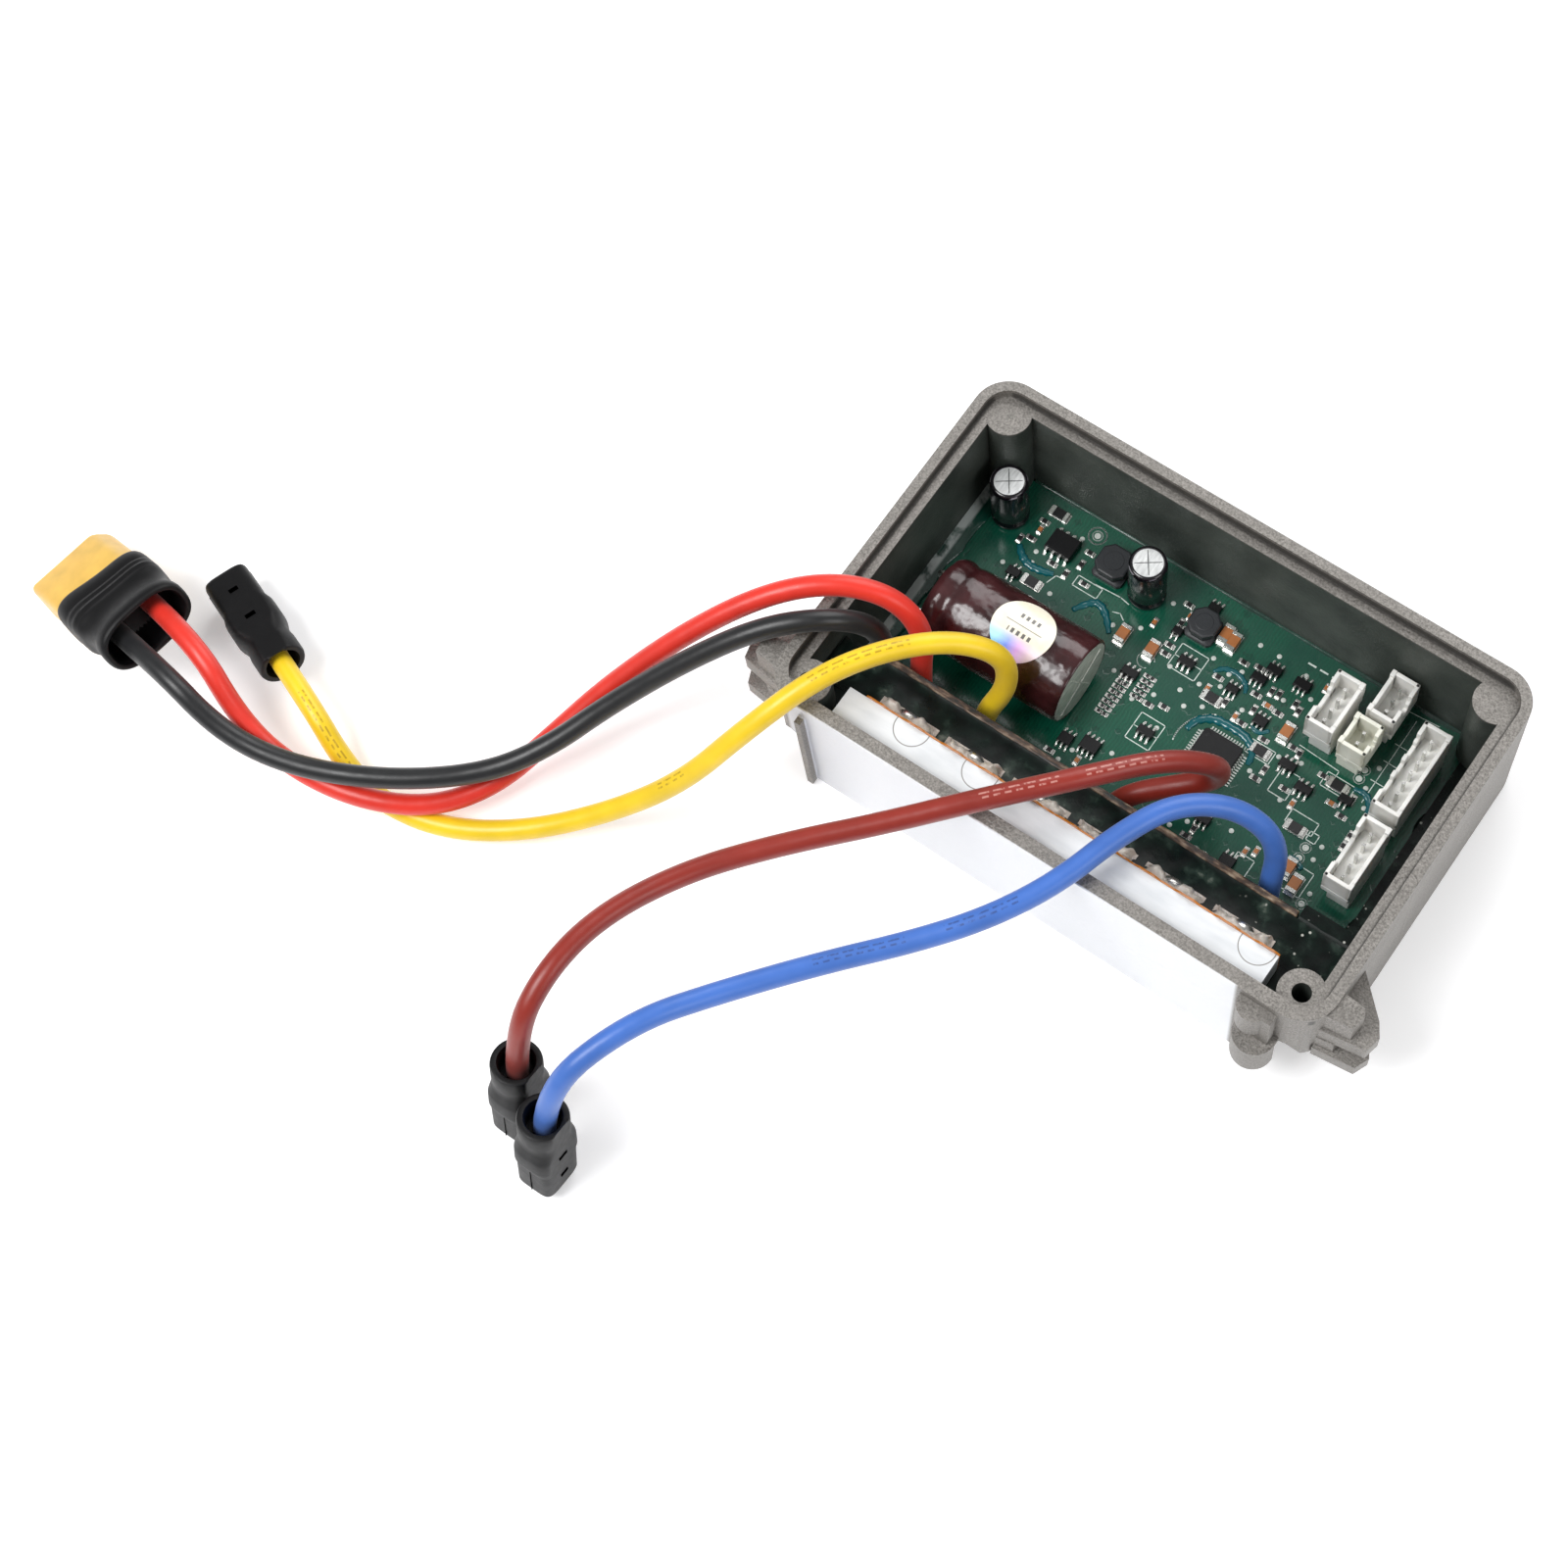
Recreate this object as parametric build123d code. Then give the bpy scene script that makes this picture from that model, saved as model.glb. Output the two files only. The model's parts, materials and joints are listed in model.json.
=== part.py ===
"""Electronic speed controller: an open die-cast case with its boards, power stage, headers and leads.

Millimetres. The origin is the centre of the case's base, +X along the case's long side, +Y to the
back wall and +Z up. The transistor bay runs along the front wall, and the leads leave over the rim.
"""
from build123d import *
import math
import os

os.makedirs("parts", exist_ok=True)

# ---- case ----
CASE_LENGTH = 99.0
CASE_WIDTH = 64.6
CASE_HEIGHT = 29.0
CORNER_RADIUS = 6.0
FLOOR_THICKNESS = 3.0
LIP_WIDTH = 1.7
LEDGE_WIDTH = 1.8
LEDGE_DROP = 2.0
FRONT_WALL = 2.4
BOSS_X = 44.1
BOSS_Y = 27.3
BOSS_RADIUS = 3.7
THREAD_RADIUS = 1.5
THREAD_DEPTH = 9.0
RELIEF_TOP = 16.0
RELIEF_X = 41.5
RELIEF_Y = 24.5
RELIEF_WEB = 1.5
HALF_LENGTH = CASE_LENGTH / 2
HALF_WIDTH = CASE_WIDTH / 2
LEDGE_Z = CASE_HEIGHT - LEDGE_DROP
INNER_X = HALF_LENGTH - LIP_WIDTH - LEDGE_WIDTH
INNER_BACK = HALF_WIDTH - LIP_WIDTH - LEDGE_WIDTH
INNER_FRONT = -HALF_WIDTH + FRONT_WALL

# ---- boards and potting ----
BOARD_TOP = 5.5
BOARD_THICKNESS = 1.6
BOARD_BOTTOM = BOARD_TOP - BOARD_THICKNESS
BOARD_LEFT = -45.6
BOARD_RIGHT = 42.4
BOARD_FRONT = -21.5
BOARD_BACK = 28.4
POTTING_RIM = 6.4
BAY_BACK = -15.9
BAY_POTTING_TOP = 19.6
POWER_BOARD_THICKNESS = 1.2
POWER_BOARD_LEFT = -38.6
POWER_BOARD_RIGHT = 36.5
POWER_BOARD_TOP = 20.0

# ---- transistor bay ----
HEAT_BAR_HALF = 38.4
HEAT_BAR_BACK = -24.2
HEAT_BAR_TOP = 26.0
FILM_THICKNESS = 0.3
FILM_TOP = 24.3
TRANSISTOR_COUNT = 6
TRANSISTOR_PITCH = 12.1
TAB_WIDTH = 10.0
TAB_THICKNESS = 1.3
TAB_TOP = 22.5
TAB_HEIGHT = 15.4
MOULD_THICKNESS = 4.5
MOULD_HEIGHT = 9.2
LEG_PITCH = 2.54
SCREW_DROP = 2.9
SCREW_HEAD_RADIUS = 2.8
SCREW_HEAD_THICKNESS = 2.0
SCREW_RADIUS = 1.4
SCREW_LENGTH = 6.0

# ---- round parts on the board ----
BULK_RADIUS = 7.5
BULK_LENGTH = 27.2
BULK_LEFT = -39.6
BULK_Y = 0.2
BULK_Z = BOARD_TOP + BULK_RADIUS + 0.2
STICKER_RADIUS = 5.2
STICKER_X = -23.2
STICKER_THICKNESS = 0.12
SMALL_CAP_RADIUS = 3.15
SMALL_CAP_HEIGHT = 12.0
SMALL_CAPS = ((-40.3, 21.4), (-14.0, 21.6))
INDUCTORS = ((-20.8, 22.3, 5.6), (-3.0, 21.3, 5.0))
INDUCTOR_HEIGHT = 3.2

# ---- flat parts on the board ----
CHIP_CENTRE = (10.1, 3.6)
CHIP_SIZE = 7.0
CHIP_HEIGHT = 1.4
CHIP_LEAD_PITCH = 0.5
CHIP_LEADS_PER_SIDE = 12
CHIP_LEAD_SPAN = 9.0
DRIVER_CENTRE = (-29.8, 21.0)
SQUARE_PACKAGES = ((-1.0, 1.3), (-2.1, 14.9), (24.6, 6.9), (20.5, 8.9), (-8.6, 8.4))
CERAMIC_CAPS = ((-13.2, 13.3), (0.6, 22.3), (2.2, 21.8), (17.4, 13.4), (29.6, -5.4), (31.8, -7.2), (-7.9, 13.6))
CHIP_RESISTORS = ((28.7, 10.4), (27.0, 0.8), (-30.5, 13.0), (15.6, 8.6), (-33.5, 25.6), (4.5, 12.0))

# ---- wire-to-board headers ----
HEADER_PITCH = 2.0
HEADER_WIDTH = 4.8
HEADER_HEIGHT = 11.0
HEADER_WALL = 0.7
HEADER_SOCKET_DEPTH = 5.0
PIN_SIZE = 0.5
# name, centre x, centre y, ways, side of the polarising notches
HEADERS = (
    ("header_1", 22.5, 18.2, 4, -1),
    ("header_2", 29.6, 23.7, 3, 1),
    ("header_3", 28.7, 15.7, 2, 1),
    ("header_4", 38.0, 15.1, 7, -1),
    ("header_5", 38.2, -0.8, 5, -1),
)

# ---- leads and plugs ----
LEAD_DIAMETER = 3.5
CONTACT_RADIUS = 1.75
BATTERY_TIP = (-164.4, -72.0, 4.2)
BATTERY_BACK = (-141.4, -75.6, 16.2)
BATTERY_PITCH = 7.2
BATTERY_SIDE = {"red": -1, "black": 1}
BATTERY_WIDTH = 16.0
BATTERY_THICKNESS = 8.1
BATTERY_BODY_LENGTH = 17.5
SHEATH_WIDTH = 17.4
SHEATH_THICKNESS = 10.4
SHEATH_LENGTH = 14.5
SHEATH_WALL = 1.3
PHASE_LENGTH = 20.6
PHASE_RADIUS = 4.0
PHASE_BUMP_RADIUS = 4.5
PHASE_BORE_RADIUS = 2.3
PHASE_BACK = {
    "yellow": (-122.3, -66.9, 8.4),
    "brown": (-46.3, -99.4, 21.9),
    "blue": (-37.9, -103.8, 21.9),
}
PHASE_TIP = {
    "yellow": (-141.6, -59.8, 4.4),
    "brown": (-46.3, -103.5, 1.7),
    "blue": (-37.9, -107.9, 1.7),
}
PHASE_WIRE_DEPTH = 8.0

PLUG_RUN_OUT = 9.0
BATTERY_WIRE_DEPTH = 12.0

# Each lead's route from its solder point on the board to just before its plug.
LEAD_ROUTES = {
    "red": (
        (-34.2, -12.6, 5.5), (-34.2, -12.6, 14.0), (-35.0, -9.4, 23.5), (-40.6, -9.5, 30.0),
        (-48.7, -13.4, 32.4), (-57.0, -20.3, 30.5), (-65.6, -30.3, 24.0), (-73.8, -41.9, 14.5),
        (-78.8, -52.8, 7.5), (-82.2, -63.0, 4.6), (-87.9, -71.4, 4.6), (-96.7, -77.0, 6.2),
        (-108.5, -79.5, 6.4), (-120.6, -79.0, 9.6),
    ),
    "black": (
        (-40.6, -12.6, 5.5), (-40.6, -12.6, 15.0), (-41.4, -13.8, 26.0), (-46.0, -18.6, 32.0),
        (-54.0, -25.2, 31.0), (-62.7, -34.3, 24.5), (-71.3, -44.8, 16.0), (-76.8, -54.8, 11.0),
        (-83.4, -63.6, 8.8), (-94.6, -73.0, 10.0), (-108.6, -79.9, 10.4), (-121.4, -82.4, 12.8),
    ),
    "yellow": (
        (-22.6, -12.6, 5.5), (-22.6, -12.6, 11.5), (-19.8, -8.6, 20.0), (-21.6, -7.4, 28.0),
        (-28.6, -11.4, 32.0), (-35.8, -19.2, 33.6), (-41.4, -28.8, 34.2), (-46.8, -40.0, 29.0),
        (-53.4, -49.2, 17.5), (-63.2, -57.6, 8.0), (-74.4, -66.6, 2.6), (-85.8, -73.4, 1.9),
        (-97.4, -75.4, 1.9), (-106.0, -73.6, 4.2),
    ),
    "brown": (
        (1.8, -12.6, 5.5), (1.8, -12.6, 8.6), (4.4, -10.0, 12.0), (9.4, -5.8, 13.2), (14.6, -2.6, 16.4),
        (14.8, -3.0, 23.8), (8.4, -8.8, 29.6), (0.0, -19.4, 32.4), (-10.2, -30.4, 32.6),
        (-20.4, -41.0, 31.0), (-31.0, -51.6, 30.2), (-40.2, -63.0, 30.6), (-45.8, -76.0, 33.4),
        (-46.8, -87.6, 35.6),
    ),
    "blue": (
        (30.0, -12.6, 5.5), (30.0, -12.6, 12.5), (28.8, -8.2, 23.0), (21.8, -9.2, 30.2),
        (14.2, -14.8, 33.0), (9.9, -23.9, 33.2), (6.4, -34.6, 32.0), (0.8, -44.6, 31.2),
        (-6.6, -53.6, 30.2), (-15.4, -63.2, 30.0), (-24.6, -75.0, 31.2), (-32.2, -87.0, 34.6),
    ),
}


def box(x0, x1, y0, y1, z0, z1):
    """An upright block between two opposite corners."""
    centre = ((x0 + x1) / 2, (y0 + y1) / 2, (z0 + z1) / 2)
    return Pos(*centre) * Box(abs(x1 - x0), abs(y1 - y0), abs(z1 - z0))


def prism(points, z0, z1):
    """A closed outline in X and Y raised from z0 to z1."""
    return extrude(Plane.XY.offset(z0) * make_face(Polyline(*points, close=True)), amount=z1 - z0)


def pillar(x, y, radius, z0, z1):
    return Pos(x, y, (z0 + z1) / 2) * Cylinder(radius, z1 - z0)


def mirrored(shape):
    return mirror(shape, about=Plane.YZ)


def write(shape, node):
    export_step(shape, "parts/" + node + ".step")


def rounded_block(length, width, radius, z0, z1):
    outline = Plane.XY.offset(z0) * RectangleRounded(length, width, radius)
    return extrude(outline, amount=z1 - z0)


# ---- case ----
def ear():
    """Right-hand foot: a ribbed tab with a slot between its two plates."""
    wall = HALF_LENGTH - 1.0
    lower = prism(((wall, -18.5), (55.0, -24.6), (56.4, -27.0), (55.4, -29.4), (wall, -30.2)), 12.0, 15.4)
    upper = prism(((wall, -17.0), (55.2, -23.4), (56.6, -25.6), (56.0, -28.2), (wall, -29.4)), 18.6, 22.6)
    core = prism(((wall, -18.0), (51.8, -21.0), (51.4, -29.2), (wall, -29.6)), 15.0, 19.0)
    tab = prism(((wall, -24.2), (53.0, -24.6), (53.6, -25.6), (53.2, -28.2), (wall, -28.8)), 22.0, 28.4)
    return lower + upper + core + tab


def round_boss(x, radius, reach, z0, z1):
    """An upright half-round boss that stands out from the front wall by its reach."""
    centre_y = -HALF_WIDTH - reach + radius
    boss = pillar(x, centre_y, radius, z0, z1)
    return boss + box(x - radius, x + radius, centre_y, -HALF_WIDTH + 0.5, z0, z1)


def front_lug():
    """Right-hand lug on the front wall, notched between an upper knob and a lower lobe."""
    front = -HALF_WIDTH
    plate = box(37.6, 43.0, front - 1.8, front + 0.5, 8.0, 27.0)
    knob = round_boss(39.4, 2.6, 3.0, 20.5, 27.0)
    lobe = round_boss(40.6, 3.4, 4.6, 9.0, 17.0)
    notch = Pos(36.8, front - 4.0, 18.7) * Rot(90, 0, 0) * Cylinder(2.2, 8.0)
    return plate + knob + lobe - notch


def front_rib():
    return box(-42.3, -41.2, -HALF_WIDTH - 1.4, -HALF_WIDTH + 0.5, 0.5, 26.0)


def cavity():
    """The space inside the walls, with the four corner bosses left standing."""
    depth_x = 2 * INNER_X
    depth_y = INNER_BACK - INNER_FRONT
    middle_y = (INNER_BACK + INNER_FRONT) / 2
    space = Pos(0, middle_y, 0) * rounded_block(depth_x, depth_y, 2.5, FLOOR_THICKNESS, CASE_HEIGHT)
    for side in (-1, 1):
        corner = box(side * INNER_X, side * (BOSS_X - 0.6), INNER_BACK, BOSS_Y - 0.6, 0, CASE_HEIGHT)
        round_end = pillar(side * BOSS_X, BOSS_Y, BOSS_RADIUS, 0, CASE_HEIGHT)
        space -= corner + round_end
        front_corner = box(side * INNER_X, side * BOSS_X, INNER_FRONT, -BOSS_Y, 0, CASE_HEIGHT)
        front_round = pillar(side * BOSS_X, -BOSS_Y, BOSS_RADIUS, 0, CASE_HEIGHT)
        space -= front_corner + front_round
        raised_x = (side * (RELIEF_X - RELIEF_WEB), side * HALF_LENGTH)
        space -= box(*raised_x, -HALF_WIDTH, -RELIEF_Y + RELIEF_WEB, 0, RELIEF_TOP + RELIEF_WEB)
    return space


def lid_seat():
    """The step inside the outer lip, open along the front wall."""
    length = CASE_LENGTH - 2 * LIP_WIDTH
    depth = HALF_WIDTH - LIP_WIDTH - INNER_FRONT
    middle_y = (HALF_WIDTH - LIP_WIDTH + INNER_FRONT) / 2
    return Pos(0, middle_y, 0) * rounded_block(length, depth, CORNER_RADIUS - LIP_WIDTH, LEDGE_Z, CASE_HEIGHT)


def housing():
    body = rounded_block(CASE_LENGTH, CASE_WIDTH, CORNER_RADIUS, 0, CASE_HEIGHT)
    body = body - cavity() - lid_seat()
    body += ear() + mirrored(ear()) + front_lug() + front_rib()
    for side in (-1, 1):
        relief_x = (side * RELIEF_X, side * (HALF_LENGTH + 1))
        body -= box(*relief_x, -HALF_WIDTH - 1, -RELIEF_Y, -1, 12.0)
        body -= box(*relief_x, -HALF_WIDTH - 1, -RELIEF_Y - 6.5, 11.0, RELIEF_TOP)
        body -= pillar(side * BOSS_X, -BOSS_Y, THREAD_RADIUS, LEDGE_Z - THREAD_DEPTH, CASE_HEIGHT)
    return body


# ---- boards and potting ----
def main_board():
    board = box(BOARD_LEFT, BOARD_RIGHT, BOARD_FRONT, BOARD_BACK, BOARD_BOTTOM, BOARD_TOP)
    return board - corner_bosses(0, CASE_HEIGHT)


def power_board():
    back = BAY_BACK + POWER_BOARD_THICKNESS
    return box(POWER_BOARD_LEFT, POWER_BOARD_RIGHT, BAY_BACK, back, BOARD_TOP, POWER_BOARD_TOP)


def corner_bosses(z0, z1):
    """The back bosses as solids, for cutting the potting round them."""
    cut = []
    for side in (-1, 1):
        cut.append(pillar(side * BOSS_X, BOSS_Y, BOSS_RADIUS, z0, z1))
        cut.append(box(side * (INNER_X + 1), side * (BOSS_X - 0.6), INNER_BACK + 1, BOSS_Y - 0.6, z0, z1))
    return Compound(cut)


def board_potting():
    """Sealing compound under the board and up its right-hand edge."""
    under = box(-INNER_X, INNER_X, BOARD_FRONT, BOARD_BACK, FLOOR_THICKNESS, BOARD_BOTTOM)
    edge = box(BOARD_RIGHT, INNER_X, -13.0, BOARD_BACK, BOARD_BOTTOM, POTTING_RIM)
    return under + edge - corner_bosses(0, POTTING_RIM + 1)


def bay_potting():
    """Compound that fills the transistor bay and both ends of it."""
    front = INNER_FRONT
    fill = box(-INNER_X + 0.4, INNER_X - 0.4, front, BAY_BACK, BOARD_TOP, BAY_POTTING_TOP)
    right_end = box(POWER_BOARD_RIGHT + 0.2, INNER_X - 0.4, BAY_BACK - 1, -13.2, BOARD_TOP, BAY_POTTING_TOP)
    fill += right_end
    fill -= box(-HEAT_BAR_HALF, HEAT_BAR_HALF, front, HEAT_BAR_BACK + FILM_THICKNESS, 0, CASE_HEIGHT)
    for side in (-1, 1):
        raised_x = (side * (RELIEF_X - RELIEF_WEB), side * HALF_LENGTH)
        fill -= box(*raised_x, -HALF_WIDTH, -RELIEF_Y + RELIEF_WEB, 0, RELIEF_TOP + RELIEF_WEB)
        fill -= pillar(side * BOSS_X, -BOSS_Y, BOSS_RADIUS, 0, CASE_HEIGHT)
        fill -= box(side * INNER_X, side * BOSS_X, front, -BOSS_Y, 0, CASE_HEIGHT)
    for x in transistor_places():
        fill -= transistor_outline(x)
        fill -= screw_head(x)
    return fill


# ---- transistor bay ----
def transistor_places():
    first = -TRANSISTOR_PITCH * (TRANSISTOR_COUNT - 1) / 2 + 0.6
    return [first + TRANSISTOR_PITCH * i for i in range(TRANSISTOR_COUNT)]


def tab_front():
    return HEAT_BAR_BACK + FILM_THICKNESS


def transistor_outline(x):
    """Tab and moulded body as one plain block each, without holes or legs."""
    y0 = tab_front()
    bottom = TAB_TOP - TAB_HEIGHT
    half = TAB_WIDTH / 2
    tab = box(x - half, x + half, y0, y0 + TAB_THICKNESS, bottom, TAB_TOP)
    mould = box(x - half, x + half, y0, y0 + MOULD_THICKNESS, bottom, bottom + MOULD_HEIGHT)
    legs = box(x - LEG_PITCH - 0.4, x + LEG_PITCH + 0.4, y0 + 1.9, y0 + 2.5, BOARD_TOP, bottom)
    return tab + mould + legs


def transistor(x):
    y0 = tab_front()
    bottom = TAB_TOP - TAB_HEIGHT
    half = TAB_WIDTH / 2
    tab = box(x - half, x + half, y0, y0 + TAB_THICKNESS, bottom, TAB_TOP)
    tab = chamfer(tab.edges().filter_by(Axis.Y).group_by(Axis.Z)[-1], 0.8)
    tab -= screw_axis(x) * Cylinder(SCREW_RADIUS, 20)
    mould = box(x - half, x + half, y0, y0 + MOULD_THICKNESS, bottom, bottom + MOULD_HEIGHT)
    package = tab + mould
    for way in (-1, 0, 1):
        leg_x = x + way * LEG_PITCH
        package += box(leg_x - 0.4, leg_x + 0.4, y0 + 1.9, y0 + 2.5, BOARD_TOP, bottom + 0.1)
    return package


def screw_axis(x):
    return Pos(x, tab_front(), TAB_TOP - SCREW_DROP) * Rot(90, 0, 0)


def screw_head(x):
    offset = tab_front() + TAB_THICKNESS + SCREW_HEAD_THICKNESS / 2
    place = Pos(x, offset, TAB_TOP - SCREW_DROP) * Rot(90, 0, 0)
    return place * Cylinder(SCREW_HEAD_RADIUS, SCREW_HEAD_THICKNESS)


def transistor_screws():
    screws = []
    for x in transistor_places():
        y1 = tab_front() + TAB_THICKNESS
        shank = Pos(x, y1 - SCREW_LENGTH / 2, TAB_TOP - SCREW_DROP) * Rot(90, 0, 0)
        slot = box(x - 0.4, x + 0.4, y1 + 1.2, y1 + 3.0, TAB_TOP - SCREW_DROP - 1.6, TAB_TOP - SCREW_DROP + 1.6)
        screws.append(screw_head(x) + shank * Cylinder(SCREW_RADIUS, SCREW_LENGTH) - slot)
    return Compound(screws)


def heat_bar():
    bar = box(-HEAT_BAR_HALF, HEAT_BAR_HALF, INNER_FRONT, HEAT_BAR_BACK, BOARD_TOP, HEAT_BAR_TOP)
    depth = SCREW_LENGTH - TAB_THICKNESS - FILM_THICKNESS
    for x in transistor_places():
        hole = Pos(x, HEAT_BAR_BACK - depth / 2, TAB_TOP - SCREW_DROP) * Rot(90, 0, 0)
        bar -= hole * Cylinder(SCREW_RADIUS, depth)
    return bar


def insulator_film():
    film = box(-HEAT_BAR_HALF + 3, HEAT_BAR_HALF, HEAT_BAR_BACK, tab_front(), BOARD_TOP + 1, FILM_TOP)
    for x in transistor_places():
        film -= screw_axis(x) * Cylinder(SCREW_RADIUS, 4)
    return film


# ---- parts on the board ----
def bulk_capacitor():
    """Large electrolytic lying along X, with its rolled end to the left."""
    lying = Pos(BULK_LEFT, BULK_Y, BULK_Z) * Rot(0, 90, 0)
    can = lying * Pos(0, 0, BULK_LENGTH / 2) * Cylinder(BULK_RADIUS, BULK_LENGTH)
    can = fillet(can.edges().filter_by(GeomType.CIRCLE), 0.9)
    groove = lying * Pos(0, 0, 3.6) * Torus(BULK_RADIUS + 0.5, 1.0)
    return can - groove


def bulk_leads():
    leads = []
    for side in (-1, 1):
        y = BULK_Y + side * 3.75
        path = FilletPolyline(
            (BULK_LEFT, y, BULK_Z), (BULK_LEFT - 2.2, y, BULK_Z), (BULK_LEFT - 2.2, y, BOARD_TOP), radius=1.0)
        leads.append(sweep(Plane(path @ 0, z_dir=path % 0) * Circle(0.4), path=path))
    return Compound(leads)


def sticker():
    """A thin round label bent over the top of the large capacitor."""
    shell = Cylinder(BULK_RADIUS + STICKER_THICKNESS, 2 * STICKER_RADIUS + 1)
    shell -= Cylinder(BULK_RADIUS, 2 * STICKER_RADIUS + 2)
    shell = Pos(STICKER_X, BULK_Y, BULK_Z) * Rot(0, 90, 0) * shell
    return shell & pillar(STICKER_X, BULK_Y, STICKER_RADIUS, BULK_Z, BULK_Z + BULK_RADIUS + 1)


def small_capacitor(x, y):
    can = pillar(x, y, SMALL_CAP_RADIUS, BOARD_TOP, BOARD_TOP + SMALL_CAP_HEIGHT)
    can = fillet(can.edges().filter_by(GeomType.CIRCLE), 0.5)
    return can - Pos(x, y, BOARD_TOP + 1.8) * Torus(SMALL_CAP_RADIUS + 0.35, 0.7)


def inductor(x, y, size):
    block = Pos(x, y, BOARD_TOP + INDUCTOR_HEIGHT / 2) * Box(size, size, INDUCTOR_HEIGHT)
    return chamfer(block.edges().filter_by(Axis.Z), size * 0.2)


def microcontroller():
    block = Pos(*CHIP_CENTRE, BOARD_TOP + 0.1 + CHIP_HEIGHT / 2) * Box(CHIP_SIZE, CHIP_SIZE, CHIP_HEIGHT)
    return chamfer(block.edges().filter_by(Axis.Z), 0.4)


def microcontroller_leads():
    leads = []
    reach = (CHIP_LEAD_SPAN - CHIP_SIZE) / 2
    for turn in range(4):
        spin = Pos(*CHIP_CENTRE, BOARD_TOP) * Rot(0, 0, 90 * turn)
        for i in range(CHIP_LEADS_PER_SIDE):
            along = (i - (CHIP_LEADS_PER_SIDE - 1) / 2) * CHIP_LEAD_PITCH
            foot = Pos(CHIP_SIZE / 2 + reach / 2 + 0.1, along, 0.1) * Box(reach - 0.2, 0.22, 0.2)
            knee = Pos(CHIP_SIZE / 2 + 0.15, along, 0.45) * Box(0.3, 0.22, 0.9)
            leads.append(spin * (foot + knee))
    return Compound(leads)


def gull_package(x, y, length, width, height, pins, pitch):
    """A small moulded package with straight leads out of its two long sides."""
    package = Pos(x, y, BOARD_TOP + height / 2 + 0.05) * Box(length, width, height - 0.1)
    for side in (-1, 1):
        for i in range(pins):
            along = (i - (pins - 1) / 2) * pitch
            place = Pos(x + along, y + side * (width / 2 + 0.4), BOARD_TOP + 0.15)
            package += place * Box(0.4, 1.0, 0.3)
    return package


def gate_driver():
    return gull_package(*DRIVER_CENTRE, 4.9, 3.9, 1.6, 4, 1.27)


def signal_transistors():
    return Compound([gull_package(x, y, 2.9, 1.6, 1.1, 3, 0.95) for x, y in SQUARE_PACKAGES])


def ceramic_capacitors():
    blocks = [Pos(x, y, BOARD_TOP + 0.7) * Box(1.7, 3.2, 1.4) for x, y in CERAMIC_CAPS]
    return Compound(blocks)


def chip_resistors():
    blocks = [Pos(x, y, BOARD_TOP + 0.3) * Box(3.2, 1.6, 0.6) for x, y in CHIP_RESISTORS]
    return Compound(blocks)


# ---- headers ----
def header_length(ways):
    return HEADER_PITCH * (ways - 1) + 3.9


def header(x, y, ways, notch_side):
    """A shrouded header: a tall base block with an open socket on top and notches in one long wall."""
    length = header_length(ways)
    top = BOARD_TOP + HEADER_HEIGHT
    floor = top - HEADER_SOCKET_DEPTH
    half = HEADER_WIDTH / 2
    shell = box(x - half, x + half, y - length / 2, y + length / 2, BOARD_TOP, top)
    inner = length / 2 - HEADER_WALL
    shell -= box(x - half + HEADER_WALL, x + half - HEADER_WALL, y - inner, y + inner, floor, top)
    wall_x = (x + notch_side * (half - HEADER_WALL), x + notch_side * half)
    notch_half = max(length / 2 - 2.6, 0.9)
    shell -= box(*wall_x, y - notch_half, y + notch_half, top - 3.2, top)
    base_x = (x + notch_side * (half - 0.5), x + notch_side * half)
    shell -= box(*base_x, y - length / 2, y + length / 2, BOARD_TOP, floor - 1.5)
    for way in range(ways):
        pin_y = y + (way - (ways - 1) / 2) * HEADER_PITCH
        shell -= Pos(x, pin_y, BOARD_TOP + HEADER_HEIGHT / 2) * Box(PIN_SIZE, PIN_SIZE, HEADER_HEIGHT)
    return shell


def header_pins():
    pins = []
    for _, x, y, ways, _ in HEADERS:
        for way in range(ways):
            pin_y = y + (way - (ways - 1) / 2) * HEADER_PITCH
            tip = BOARD_TOP + HEADER_HEIGHT - 1.6
            pins.append(Pos(x, pin_y, (BOARD_TOP + tip) / 2) * Box(PIN_SIZE, PIN_SIZE, tip - BOARD_TOP))
    return Compound(pins)


# ---- leads and plugs ----
def bend_radii(points):
    """Each arc takes 0.45 of its shorter run, and the smallest is printed with the lead's length."""
    radii = []
    for before, here, after in zip(points, points[1:], points[2:]):
        first = Vector(*here) - Vector(*before)
        second = Vector(*after) - Vector(*here)
        turn = math.radians(first.get_angle(second))
        radii.append(0.45 * min(first.length, second.length) / math.tan(turn / 2))
    return radii


def lead_points(colour):
    """The route with its last straight run, which lies on the plug's axis and ends at the contact."""
    if colour in PHASE_BACK:
        tip, back = PHASE_TIP[colour], PHASE_BACK[colour]
        frame = plug_frame(tip, back)
        side, depth = 0, PHASE_WIRE_DEPTH
    else:
        tip, back = BATTERY_TIP, BATTERY_BACK
        frame = battery_frame()
        side = BATTERY_SIDE[colour] * BATTERY_PITCH / 2
        depth = BATTERY_WIRE_DEPTH
    length = (Vector(*back) - Vector(*tip)).length
    outside = frame.from_local_coords(Vector(side, 0, length + PLUG_RUN_OUT))
    inside = frame.from_local_coords(Vector(side, 0, length - depth))
    return [*LEAD_ROUTES[colour], tuple(outside), tuple(inside)]


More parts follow.
